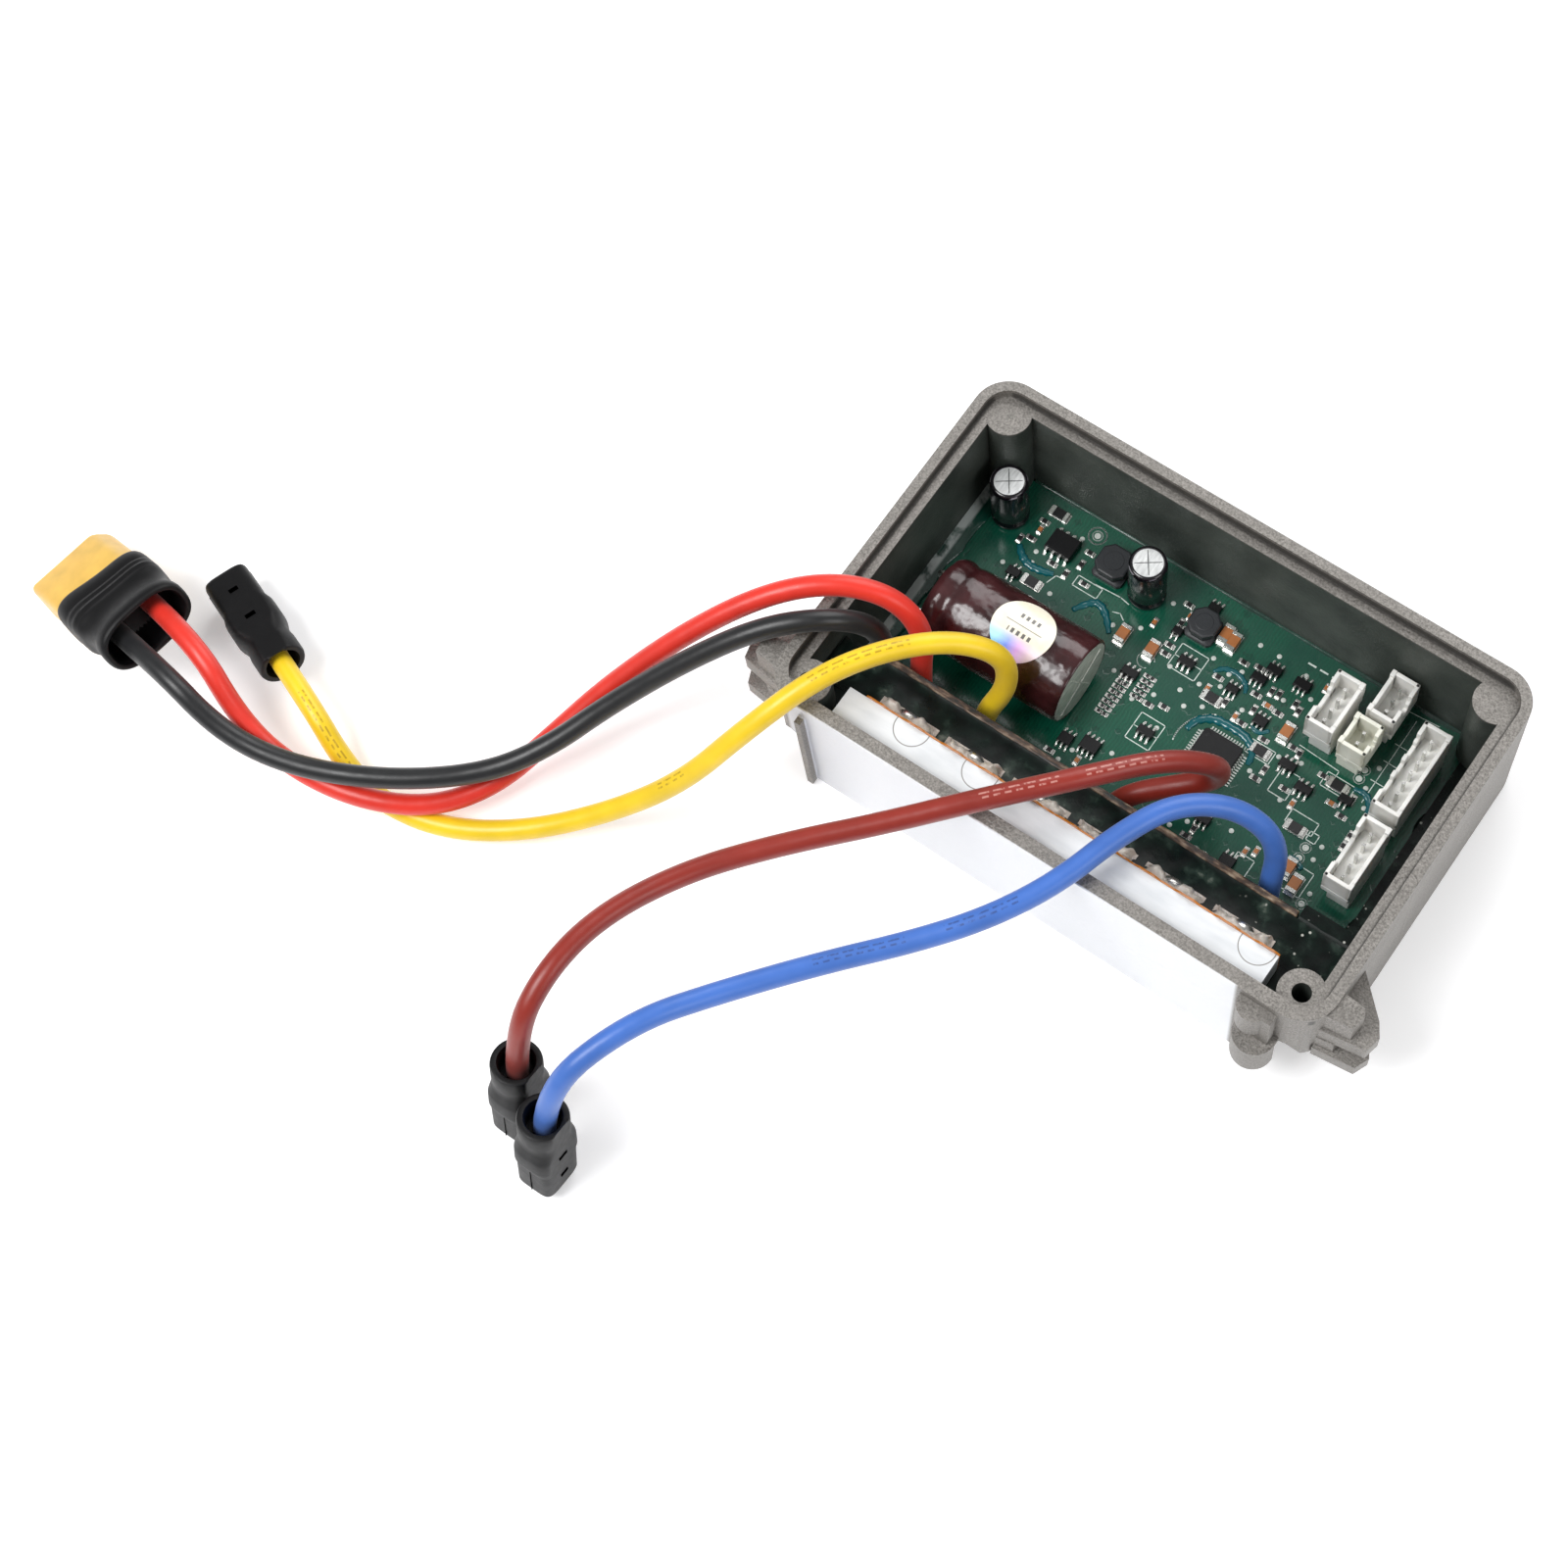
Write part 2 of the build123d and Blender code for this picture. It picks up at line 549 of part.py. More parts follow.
def lead(colour):
    points = lead_points(colour)
    radii = bend_radii(points)
    path = FilletPolyline(*points, radius=radii)
    start = Plane(path @ 0, z_dir=path % 0)
    tube = sweep(start * Circle(LEAD_DIAMETER / 2), path=path)
    expected = math.pi * LEAD_DIAMETER ** 2 / 4 * path.length
    print(colour, "length", round(path.length, 1), "volume ratio", round(tube.volume / expected, 4),
          "radii", [round(r, 1) for r in radii])
    print("    last points", [tuple(round(v, 1) for v in point) for point in points[-2:]])
    return tube


def plug_frame(tip, back):
    """A frame at the plug's tip whose Z runs to the wire end and whose X is level."""
    along = (Vector(*back) - Vector(*tip)).normalized()
    level = Vector(along.Y, -along.X, 0).normalized()
    return Plane(origin=tip, x_dir=level, z_dir=along)


def battery_frame():
    return plug_frame(BATTERY_TIP, BATTERY_BACK)


def battery_length():
    return (Vector(*BATTERY_BACK) - Vector(*BATTERY_TIP)).length


def battery_block():
    """The two-pole plug's flat outline, with one pair of bevelled corners."""
    half = BATTERY_WIDTH / 2
    depth = BATTERY_THICKNESS / 2
    outline = Polyline((-half, -depth + 2.6), (-half + 2.6, -depth), (half, -depth), (half, depth),
                       (-half + 2.6, depth), (-half, depth - 2.6), close=True)
    return extrude(make_face(outline), amount=BATTERY_BODY_LENGTH)


def battery_plug_body():
    body = battery_block()
    for side in (-1, 1):
        body -= Pos(side * BATTERY_PITCH / 2, 0, BATTERY_BODY_LENGTH / 2) * Cylinder(2.3, BATTERY_BODY_LENGTH)
    return battery_frame() * body


def battery_plug_contacts():
    tubes = []
    for side in (-1, 1):
        length = battery_length() - BATTERY_WIRE_DEPTH - 1.0
        tube = Pos(side * BATTERY_PITCH / 2, 0, 1.0 + length / 2) * Cylinder(2.3, length)
        tube -= Pos(side * BATTERY_PITCH / 2, 0, 6.0) * Cylinder(CONTACT_RADIUS, 12.0)
        tubes.append(tube)
    return battery_frame() * Compound(tubes)


def battery_plug_sheath():
    """Oval cover over the plug's wire end, with three ribs across its flat sides."""
    end = battery_length()
    start = end - SHEATH_LENGTH
    outer = Plane.XY.offset(start) * RectangleRounded(SHEATH_WIDTH, SHEATH_THICKNESS, 5.0)
    cover = extrude(outer, amount=SHEATH_LENGTH)
    inner_width = SHEATH_WIDTH - 2 * SHEATH_WALL
    inner_depth = SHEATH_THICKNESS - 2 * SHEATH_WALL
    inner = Plane.XY.offset(start) * RectangleRounded(inner_width, inner_depth, 3.7)
    cover -= extrude(inner, amount=SHEATH_LENGTH)
    cover -= battery_block()
    for i in range(3):
        z = start + 4.5 + i * 2.4
        for side in (-1, 1):
            cover += Pos(0, side * (SHEATH_THICKNESS / 2 + 0.1), z) * Box(8.0, 0.8, 1.2)
    return battery_frame() * cover


def phase_plug(colour):
    """Single-pole plug cover: a round wire end, a thick middle and a squared tip."""
    tip_block = Pos(0, 0, 4.5) * Box(2 * PHASE_RADIUS - 0.2, 2 * PHASE_RADIUS - 1.4, 9.0)
    tip_block = chamfer(tip_block.edges().filter_by(Axis.Z), 1.2)
    middle = Pos(0, 0, 10.6) * Cylinder(PHASE_BUMP_RADIUS, 5.0)
    middle &= Pos(0, 0, 10.6) * Box(20, 2 * PHASE_BUMP_RADIUS - 1.6, 6)
    wire_end = Pos(0, 0, (12.0 + PHASE_LENGTH) / 2) * Cylinder(PHASE_RADIUS, PHASE_LENGTH - 12.0)
    cover = tip_block + middle + wire_end
    cover -= Pos(0, 0, PHASE_LENGTH / 2) * Cylinder(PHASE_BORE_RADIUS, PHASE_LENGTH)
    cover -= Pos(0, 0, PHASE_LENGTH - 1.5) * Cylinder(PHASE_RADIUS - 0.9, 3.0)
    return plug_frame(PHASE_TIP[colour], PHASE_BACK[colour]) * cover


def phase_contact(colour):
    frame = plug_frame(PHASE_TIP[colour], PHASE_BACK[colour])
    total = (Vector(*PHASE_BACK[colour]) - Vector(*PHASE_TIP[colour])).length
    length = total - PHASE_WIRE_DEPTH - 1.0
    tube = Pos(0, 0, 1.0 + length / 2) * Cylinder(PHASE_BORE_RADIUS, length)
    tube -= Pos(0, 0, 1.0 + 3.5) * Cylinder(CONTACT_RADIUS, 7.0)
    return frame * tube


def main():
    write(housing(), "housing")
    write(main_board(), "main_board")
    write(board_potting(), "board_potting")
    write(bay_potting(), "bay_potting")
    write(power_board(), "power_board")
    write(heat_bar(), "heat_bar")
    write(insulator_film(), "insulator_film")
    for number, x in enumerate(transistor_places(), start=1):
        write(transistor(x), "power_transistor_" + str(number))
    write(transistor_screws(), "transistor_screws")
    write(bulk_capacitor(), "bulk_capacitor")
    write(bulk_leads(), "bulk_capacitor_leads")
    write(sticker(), "capacitor_sticker")
    for number, (x, y) in enumerate(SMALL_CAPS, start=1):
        write(small_capacitor(x, y), "small_capacitor_" + str(number))
    for number, (x, y, size) in enumerate(INDUCTORS, start=1):
        write(inductor(x, y, size), "inductor_" + str(number))
    write(microcontroller(), "microcontroller")
    write(microcontroller_leads(), "microcontroller_leads")
    write(gate_driver(), "gate_driver")
    write(signal_transistors(), "signal_transistors")
    write(ceramic_capacitors(), "ceramic_capacitors")
    write(chip_resistors(), "chip_resistors")
    for name, x, y, ways, notch_side in HEADERS:
        write(header(x, y, ways, notch_side), name)
    write(header_pins(), "header_pins")
    write(battery_plug_body(), "battery_plug_body")
    write(battery_plug_contacts(), "battery_plug_contacts")
    write(battery_plug_sheath(), "battery_plug_sheath")
    for colour in ("yellow", "brown", "blue"):
        write(phase_plug(colour), "phase_plug_" + colour)
        write(phase_contact(colour), "phase_contact_" + colour)
    for colour in LEAD_ROUTES:
        write(lead(colour), "lead_" + colour)


main()
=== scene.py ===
"""Electronic speed controller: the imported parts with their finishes, the leads, the light and the camera.

Shapes are given in millimetres in the part's own frame, and every mesh is scaled to metres as it is made.
"""
import bpy
import bmesh
import json
import random
from math import copysign, cos, exp, pi, radians, sin
from mathutils import Matrix, Vector

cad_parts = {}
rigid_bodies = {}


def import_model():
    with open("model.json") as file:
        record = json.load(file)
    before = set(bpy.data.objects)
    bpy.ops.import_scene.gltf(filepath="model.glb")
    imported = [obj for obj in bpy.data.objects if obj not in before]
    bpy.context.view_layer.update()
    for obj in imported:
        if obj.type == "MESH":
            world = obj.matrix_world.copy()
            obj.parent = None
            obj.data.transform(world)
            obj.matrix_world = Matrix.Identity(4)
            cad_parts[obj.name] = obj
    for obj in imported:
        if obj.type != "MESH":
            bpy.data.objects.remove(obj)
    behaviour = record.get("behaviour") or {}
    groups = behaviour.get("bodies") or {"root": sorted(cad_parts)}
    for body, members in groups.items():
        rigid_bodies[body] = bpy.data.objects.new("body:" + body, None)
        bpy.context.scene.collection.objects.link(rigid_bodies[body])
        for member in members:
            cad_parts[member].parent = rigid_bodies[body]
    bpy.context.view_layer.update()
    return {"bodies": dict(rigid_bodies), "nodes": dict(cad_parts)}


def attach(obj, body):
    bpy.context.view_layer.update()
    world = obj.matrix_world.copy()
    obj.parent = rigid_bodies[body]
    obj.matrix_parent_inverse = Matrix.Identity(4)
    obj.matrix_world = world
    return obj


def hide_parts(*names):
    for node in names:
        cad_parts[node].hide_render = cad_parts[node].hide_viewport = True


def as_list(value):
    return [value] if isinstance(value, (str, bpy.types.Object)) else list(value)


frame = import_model()

MM = 0.001
BODY = next(iter(frame["bodies"]))

# ---- sizes in millimetres, most of them repeated from the CAD part ----
BOARD_TOP = 5.5
# bounds of the painted shade on the inner walls, a little behind the faces of the inner walls
INNER_X = 46.4
INNER_FRONT = -30.2
INNER_BACK = 29.2
# middle of the band that counts as the front wall's outer face
FRONT_FACE = -32.35
# inner faces of the lip, with the groove beside them
LIP_X = 47.8
LIP_BACK = 30.6
# the recesses under the front corners
RELIEF_X = 41.5
RELIEF_Y = 24.5
RELIEF_TOP = 16.0
BAY_TOP = 19.6
BAY_SIDE = 45.6
BAY_BACK = -15.9
BAY_BASE = 16.0
COMPOUND_BASE = 5.0
POWER_BOARD_TOP = 20.0
BAR_HALF = 38.4
BAR_TOP = 26.0
BAR_BACK = -24.2
TAB_FRONT = -23.9
TAB_TOP = 22.5
SCREW_DROP = 2.9
TRANSISTOR_X = [-29.65 + 12.1 * i for i in range(6)]
BULK_LEFT = -39.6
BULK_Y = 0.2
BULK_Z = 13.2
STICKER_X = -23.2
SMALL_CAPS = {"small_capacitor_1": (-40.3, 21.4), "small_capacitor_2": (-14.0, 21.6)}
INDUCTORS = {"inductor_1": (-20.8, 22.3, 5.6), "inductor_2": (-3.0, 21.3, 5.0)}
CHIP_CENTRE = (10.1, 3.6)
# name, centre x, centre y, ways, side of the polarising notches
HEADERS = (
    ("header_1", 22.5, 18.2, 4, -1),
    ("header_2", 29.6, 23.7, 3, 1),
    ("header_3", 28.7, 15.7, 2, 1),
    ("header_4", 38.0, 15.1, 7, -1),
    ("header_5", 38.2, -0.8, 5, -1),
)
PIN_PITCH = 2.0
HEADER_ENDS = 3.9
HEADER_WIDTH = 4.8
HEADER_HEIGHT = 11.0
HEADER_WALL = 0.7
BATTERY_TIP = (-164.4, -72.0, 4.2)
BATTERY_BACK = (-141.4, -75.6, 16.2)
BATTERY_LENGTH = 26.19
SHEATH_LENGTH = 14.5
PHASE_TIP = {"yellow": (-141.6, -59.8, 4.4), "brown": (-46.3, -103.5, 1.7), "blue": (-37.9, -107.9, 1.7)}
PHASE_BACK = {"yellow": (-122.3, -66.9, 8.4), "brown": (-46.3, -99.4, 21.9), "blue": (-37.9, -103.8, 21.9)}
# degrees that each phase cover is turned about its own axis, which puts its flat side where it shows
PHASE_TURN = {"yellow": 180, "brown": -90, "blue": -90}
LEAD_RADIUS = 1.75

# Each lead's route from the board to the contact in its plug, in metres.
LEAD_ROUTES = {
    "red": (
        (-0.0342, -0.0126, 0.0055), (-0.0342, -0.0126, 0.0140), (-0.0350, -0.0094, 0.0235),
        (-0.0406, -0.0095, 0.0300), (-0.0487, -0.0134, 0.0324), (-0.0570, -0.0203, 0.0305),
        (-0.0656, -0.0303, 0.0240), (-0.0738, -0.0419, 0.0145), (-0.0788, -0.0528, 0.0075),
        (-0.0822, -0.0630, 0.0046), (-0.0879, -0.0714, 0.0046), (-0.0967, -0.0770, 0.0062),
        (-0.1085, -0.0795, 0.0064), (-0.1206, -0.0790, 0.0096), (-0.1329, -0.0733, 0.0203),
        (-0.1514, -0.0704, 0.0107),
    ),
    "black": (
        (-0.0406, -0.0126, 0.0055), (-0.0406, -0.0126, 0.0150), (-0.0414, -0.0138, 0.0260),
        (-0.0460, -0.0186, 0.0320), (-0.0540, -0.0252, 0.0310), (-0.0627, -0.0343, 0.0245),
        (-0.0713, -0.0448, 0.0160), (-0.0768, -0.0548, 0.0110), (-0.0834, -0.0636, 0.0088),
        (-0.0946, -0.0730, 0.0100), (-0.1086, -0.0799, 0.0104), (-0.1214, -0.0824, 0.0128),
        (-0.1341, -0.0804, 0.0203), (-0.1525, -0.0775, 0.0107),
    ),
    "yellow": (
        (-0.0226, -0.0126, 0.0055), (-0.0226, -0.0126, 0.0115), (-0.0198, -0.0086, 0.0200),
        (-0.0216, -0.0074, 0.0280), (-0.0286, -0.0114, 0.0320), (-0.0358, -0.0192, 0.0336),
        (-0.0414, -0.0288, 0.0342), (-0.0468, -0.0400, 0.0290), (-0.0534, -0.0492, 0.0175),
        (-0.0632, -0.0576, 0.0080), (-0.0744, -0.0666, 0.0026), (-0.0858, -0.0734, 0.0019),
        (-0.0974, -0.0754, 0.0019), (-0.1060, -0.0736, 0.0042), (-0.1140, -0.0700, 0.0101),
        (-0.1297, -0.0642, 0.0069),
    ),
    "brown": (
        (0.0018, -0.0126, 0.0055), (0.0018, -0.0126, 0.0086), (0.0044, -0.0100, 0.0120),
        (0.0094, -0.0058, 0.0132), (0.0146, -0.0026, 0.0164), (0.0148, -0.0030, 0.0238),
        (0.0084, -0.0088, 0.0296), (0.0000, -0.0194, 0.0324), (-0.0102, -0.0304, 0.0326),
        (-0.0204, -0.0410, 0.0310), (-0.0310, -0.0516, 0.0302), (-0.0402, -0.0630, 0.0306),
        (-0.0458, -0.0760, 0.0334), (-0.0468, -0.0876, 0.0356), (-0.0463, -0.0976, 0.0307),
        (-0.0463, -0.1010, 0.0141),
    ),
    "blue": (
        (0.0300, -0.0126, 0.0055), (0.0300, -0.0126, 0.0125), (0.0288, -0.0082, 0.0230),
        (0.0218, -0.0092, 0.0302), (0.0142, -0.0148, 0.0330), (0.0099, -0.0239, 0.0332),
        (0.0064, -0.0346, 0.0320), (0.0008, -0.0446, 0.0312), (-0.0066, -0.0536, 0.0302),
        (-0.0154, -0.0632, 0.0300), (-0.0246, -0.0750, 0.0312), (-0.0322, -0.0870, 0.0346),
        (-0.0379, -0.1020, 0.0307), (-0.0379, -0.1054, 0.0141),
    ),
}


# ---- finishes ----
def colour(red, green, blue):
    """A display colour, 0 to 255, as the linear values a shader takes."""
    return tuple((v / 255) ** 2.2 for v in (red, green, blue)) + (1.0,)


class Finish:
    """A procedural material, with texture positions in millimetres in the part's frame."""

    def __init__(self, name, roughness, metallic=0.0, **sockets):
        self.material = bpy.data.materials.new(name)
        self.material.use_nodes = True
        self.tree = self.material.node_tree
        self.shader = self.tree.nodes["Principled BSDF"]
        self.shader.inputs["Roughness"].default_value = roughness
        self.shader.inputs["Metallic"].default_value = metallic
        for socket, value in sockets.items():
            self.shader.inputs[socket.replace("_", " ")].default_value = value
        place = self.tree.nodes.new("ShaderNodeTexCoord")
        self.mm = self.scaled(place.outputs["Object"], (1000.0, 1000.0, 1000.0))
        self.uv_mm = self.scaled(place.outputs["UV"], (1000.0, 1000.0, 1000.0))

    def node(self, kind, inputs, output, **settings):
        """Adds a node, links or sets its inputs, and gives back one of its outputs."""
        made = self.tree.nodes.new(kind)
        for setting, value in settings.items():
            setattr(made, setting, value)
        for socket, value in inputs.items():
            if isinstance(value, bpy.types.NodeSocket):
                self.tree.links.new(value, made.inputs[socket])
            else:
                made.inputs[socket].default_value = value
        return made.outputs[output]

    def scaled(self, vector, factors):
        return self.node("ShaderNodeVectorMath", {0: vector, 1: factors}, 0, operation="MULTIPLY")

    def noise(self, size, detail=3.0, stretch=(1.0, 1.0, 1.0)):
        """Noise whose lumps are about this many millimetres across."""
        vector = self.scaled(self.mm, stretch)
        inputs = {"Vector": vector, "Scale": 1.0 / size, "Detail": detail}
        return self.node("ShaderNodeTexNoise", inputs, 0)

    def cells(self, size, feature="F1", metric="EUCLIDEAN"):
        inputs = {"Vector": self.mm, "Scale": 1.0 / size}
        return self.node("ShaderNodeTexVoronoi", inputs, 0, feature=feature, distance=metric)

    def maths(self, operation, first, second=0.0):
        return self.node("ShaderNodeMath", {0: first, 1: second}, 0, operation=operation)

    def times(self, first, second):
        return self.maths("MULTIPLY", first, second)

    def plus(self, first, second):
        return self.maths("ADD", first, second)

    def minus(self, first, second):
        return self.maths("SUBTRACT", first, second)

    def larger(self, first, second):
        return self.maths("MAXIMUM", first, second)

    def wrapped(self, value, period):
        return self.maths("FLOORED_MODULO", value, period)

    def axes(self, vector=None):
        made = self.tree.nodes.new("ShaderNodeSeparateXYZ")
        self.tree.links.new(vector or self.mm, made.inputs[0])
        return made.outputs

    def step(self, value, low, high):
        """0 at low, 1 at high, clamped."""
        inputs = {"Value": value, "From Min": low, "From Max": high}
        return self.node("ShaderNodeMapRange", inputs, 0)

    def ramp(self, value, *stops):
        """Colours at these positions, blended between them."""
        made = self.tree.nodes.new("ShaderNodeValToRGB")
        self.tree.links.new(value, made.inputs[0])
        points = made.color_ramp.elements
        for _ in stops[2:]:
            points.new(0.5)
        for point, (position, shade) in zip(points, stops):
            point.position = position
            point.color = shade
        return made.outputs[0]

    def mix(self, factor, first, second):
        inputs = {0: factor, 6: first, 7: second}
        return self.node("ShaderNodeMix", inputs, 2, data_type="RGBA")

    def paint(self, shade):
        if isinstance(shade, bpy.types.NodeSocket):
            self.tree.links.new(shade, self.shader.inputs["Base Color"])
        else:
            self.shader.inputs["Base Color"].default_value = shade

    def roughen(self, value, low, high):
        """Lets the gloss follow a texture."""
        inputs = {"Value": value, "To Min": low, "To Max": high}
        spread = self.node("ShaderNodeMapRange", inputs, 0)
        self.tree.links.new(spread, self.shader.inputs["Roughness"])

    def bump(self, height, depth, strength=1.0, under=None):
        """Relief of this many millimetres, over an earlier relief if one is given."""
        inputs = {"Strength": strength, "Distance": depth * MM, "Height": height}
        if under is not None:
            inputs["Normal"] = under
        normal = self.node("ShaderNodeBump", inputs, 0)
        self.tree.links.new(normal, self.shader.inputs["Normal"])
        return normal


def between(finish, value, low, high, soft=0.05):
    """1 where the value lies between low and high."""
    inside = finish.step(value, low - soft, low + soft)
    outside = finish.step(value, high + soft, high - soft)
    return finish.times(inside, outside)


def ring_mark(finish, x, y, radius, width):
    """1 on a thin circle about an upright axis."""
    axes = finish.axes()
    dx = finish.minus(axes[0], x)
    dy = finish.minus(axes[1], y)
    square = finish.plus(finish.times(dx, dx), finish.times(dy, dy))
    distance = finish.maths("SQRT", square)
    return between(finish, distance, radius - width / 2, radius + width / 2)


def inner_walls(f, x, y, z):
    """1 on the case's inner walls and 0 on the recesses under its front corners."""
    inside = f.times(between(f, x, -INNER_X, INNER_X), between(f, y, INNER_FRONT, INNER_BACK))
    inside = f.times(inside, between(f, z, 1.0, 26.7, 0.2))
    aside = f.step(f.maths("ABSOLUTE", x), RELIEF_X - 0.6, RELIEF_X - 0.4)
    ahead = f.step(y, 0.4 - RELIEF_Y, 0.2 - RELIEF_Y)
    below = f.step(z, RELIEF_TOP + 0.4, RELIEF_TOP + 0.2)
    recess = f.times(aside, f.times(ahead, below))
    return f.times(inside, f.minus(1.0, recess))


def rim_groove(f, x, y, z):
    """1 in the groove along the rim's back and sides, where shade is painted."""
    outward = f.larger(f.minus(f.maths("ABSOLUTE", x), LIP_X), f.minus(y, LIP_BACK))
    return f.times(between(f, outward, -0.45, 0.3, 0.15), between(f, z, 26.5, 28.3))


def front_wall(f, x, y):
    """1 on the front wall's outer face, where glare is painted."""
    return f.times(between(f, y, FRONT_FACE - 0.25, FRONT_FACE + 0.25, 0.1), between(f, x, -48.4, 36.0, 0.3))


def die_cast_aluminium():
    """Sandy cast skin, with painted shade on the inner walls and in the rim groove, and painted glare on the
    front wall.
    """
    f = Finish("die_cast_aluminium", 0.5, metallic=0.55)
    grain = f.noise(0.28, 4.0)
    blotch = f.noise(3.5, 4.0)
    x, y, z = f.axes()
    sand = f.ramp(grain, (0.3, colour(100, 97, 93)), (0.7, colour(158, 154, 149)))
    sand = f.mix(f.times(f.step(blotch, 0.35, 0.7), 0.35), sand, colour(124, 121, 117))
    # painted shade: the groove beside the lip is coloured dark
    sand = f.mix(f.times(rim_groove(f, x, y, z), 0.75), sand, colour(58, 57, 55))
    # painted shade: the inner walls are coloured darker and greener than the sand, for the shade inside the
    # case
    wall = f.ramp(f.noise(9.0, 3.0), (0.3, colour(70, 76, 72)), (0.75, colour(98, 104, 99)))
    shade = f.mix(inner_walls(f, x, y, z), sand, wall)
    # painted light: the front wall's outer face is coloured near white as glare, with painted shade towards
    # its left end
    painted_glare = f.ramp(f.step(x, -49.0, -28.0), (0.0, colour(206, 208, 214)), (1.0, colour(234, 236, 239)))
    f.paint(f.mix(f.times(front_wall(f, x, y), 0.92), shade, painted_glare))
    f.roughen(grain, 0.38, 0.62)
    skin = f.plus(grain, f.times(f.cells(0.55), 0.5))
    skin = f.plus(skin, f.times(ring_mark(f, 47.9, -5.2, 1.5, 0.25), 1.2))
    f.bump(skin, 0.09, 0.7, f.bump(blotch, 0.12))
    return f.material


def solder_mask():
    """Green lacquer over slightly raised copper tracks."""
    f = Finish("solder_mask", 0.22, Coat_Weight=0.5, Coat_Roughness=0.08)
    copper = f.cells(2.6, metric="MANHATTAN", feature="SMOOTH_F1")
    lanes = f.node("ShaderNodeTexWave", {"Vector": f.mm, "Scale": 0.55, "Distortion": 5.0, "Detail": 2.0}, 1)
    raised = f.times(f.step(copper, 0.32, 0.38), 0.6)
    raised = f.plus(raised, f.times(f.step(lanes, 0.46, 0.54), 0.4))
    shade = f.ramp(raised, (0.0, colour(10, 64, 50)), (1.0, colour(17, 84, 64)))
    f.paint(f.mix(f.step(f.noise(9.0), 0.4, 0.7), shade, colour(11, 70, 56)))
    f.bump(raised, 0.035, 0.7)
    return f.material


def potting_black():
    """Dull green-black compound over the bay and board, with pale cloudy patches of painted reflection and
    pale specks towards its right end.
    """
    f = Finish("potting_black", 0.3, Specular_IOR_Level=0.18)
    mottle_and_reflection = f.noise(3.2, 5.0)
    # the palest stops give cloudy patches of painted reflection; the darker stops are the compound's own
    # mottle
    body = f.ramp(mottle_and_reflection, (0.36, colour(7, 15, 13)), (0.54, colour(15, 27, 23)), (0.64, colour(40, 52, 46)),
                  (0.74, colour(100, 106, 98)))
    x, _, _ = f.axes()
    speck = f.times(f.step(f.cells(1.3), 0.2, 0.12), f.step(f.noise(2.4), 0.5, 0.56))
    speck = f.times(speck, f.step(x, 26.0, 38.0))
    f.paint(f.mix(f.times(speck, 0.8), body, colour(196, 196, 188)))
    f.roughen(f.noise(2.5), 0.18, 0.42)
    f.bump(mottle_and_reflection, 0.12, 0.7)
    return f.material


def edge_compound():
    """Glossy green compound along the walls, with a pale glint where it wets the left one."""
    f = Finish("edge_compound", 0.16, Coat_Weight=0.4, Coat_Roughness=0.1)
    wave = f.noise(7.0, 3.0)
    x, _, _ = f.axes()
    glint = f.times(f.step(x, -44.5, -44.9), f.step(f.noise(3.0), 0.35, 0.5))
    body = f.ramp(wave, (0.35, colour(8, 50, 40)), (0.75, colour(13, 66, 53)))
    f.paint(f.mix(f.times(glint, 0.8), body, colour(180, 186, 184)))
    f.roughen(f.noise(2.5), 0.1, 0.28)
    f.bump(wave, 0.2, 0.8)
    return f.material


def simple_plastic(name, shade, roughness, grain=0.3, depth=0.02, **sockets):
    """Moulded plastic: fine grain, slight colour drift and uneven gloss."""
    f = Finish(name, roughness, **sockets)
    drift = f.noise(4.0, 2.0)
    darker = tuple(v * 0.8 for v in shade[:3]) + (1.0,)
    f.paint(f.ramp(drift, (0.3, darker), (0.7, shade)))
    f.roughen(f.noise(1.2, 2.0), max(roughness - 0.08, 0.03), roughness + 0.08)
    f.bump(f.noise(grain, 3.0), depth, 0.7)
    return f.material


def metal(name, shade, roughness):
    """Bare metal with a finely uneven polish."""
    f = Finish(name, roughness, metallic=1.0)
    streak = f.noise(0.15, 3.0)
    darker = tuple(v * 0.65 for v in shade[:3]) + (1.0,)
    f.paint(f.ramp(streak, (0.3, darker), (0.65, shade)))
    f.roughen(streak, max(roughness - 0.1, 0.05), roughness + 0.1)
    f.bump(streak, 0.01, 0.6)
    return f.material


def silicone(name, shade, mark=None, groups=()):
    """A rubbery jacket with a dusty sheen, and groups of plain dashes where a mark colour is given."""
    f = Finish(name, 0.38, Sheen_Weight=0.15, Sheen_Roughness=0.5)
    drift = f.noise(8.0, 3.0)
    darker = tuple(v * 0.82 for v in shade[:3]) + (1.0,)
    body = f.ramp(drift, (0.3, darker), (0.7, shade))
    if mark is not None:
        u, v, _ = f.axes(f.uv_mm)
        upper = f.times(between(f, v, 5.7, 6.0), f.step(f.wrapped(u, 1.7), 1.05, 0.95))
        lower = f.times(between(f, v, 5.0, 5.3), f.step(f.wrapped(u, 2.3), 1.75, 1.65))
        printed = between(f, u, *groups[0])
        for start, end in groups[1:]:
            printed = f.larger(printed, between(f, u, start, end))
        worn = f.step(f.noise(0.6, 2.0), 0.3, 0.5)
        ink = f.times(f.larger(upper, lower), f.times(printed, worn))
        body = f.mix(f.times(ink, 0.55), body, mark)
    f.paint(body)
    f.roughen(f.noise(2.0), 0.3, 0.46)
    dents = f.bump(f.noise(5.0, 2.0), 0.12)
    f.bump(f.noise(0.25, 2.0), 0.012, 0.6, dents)
    return f.material


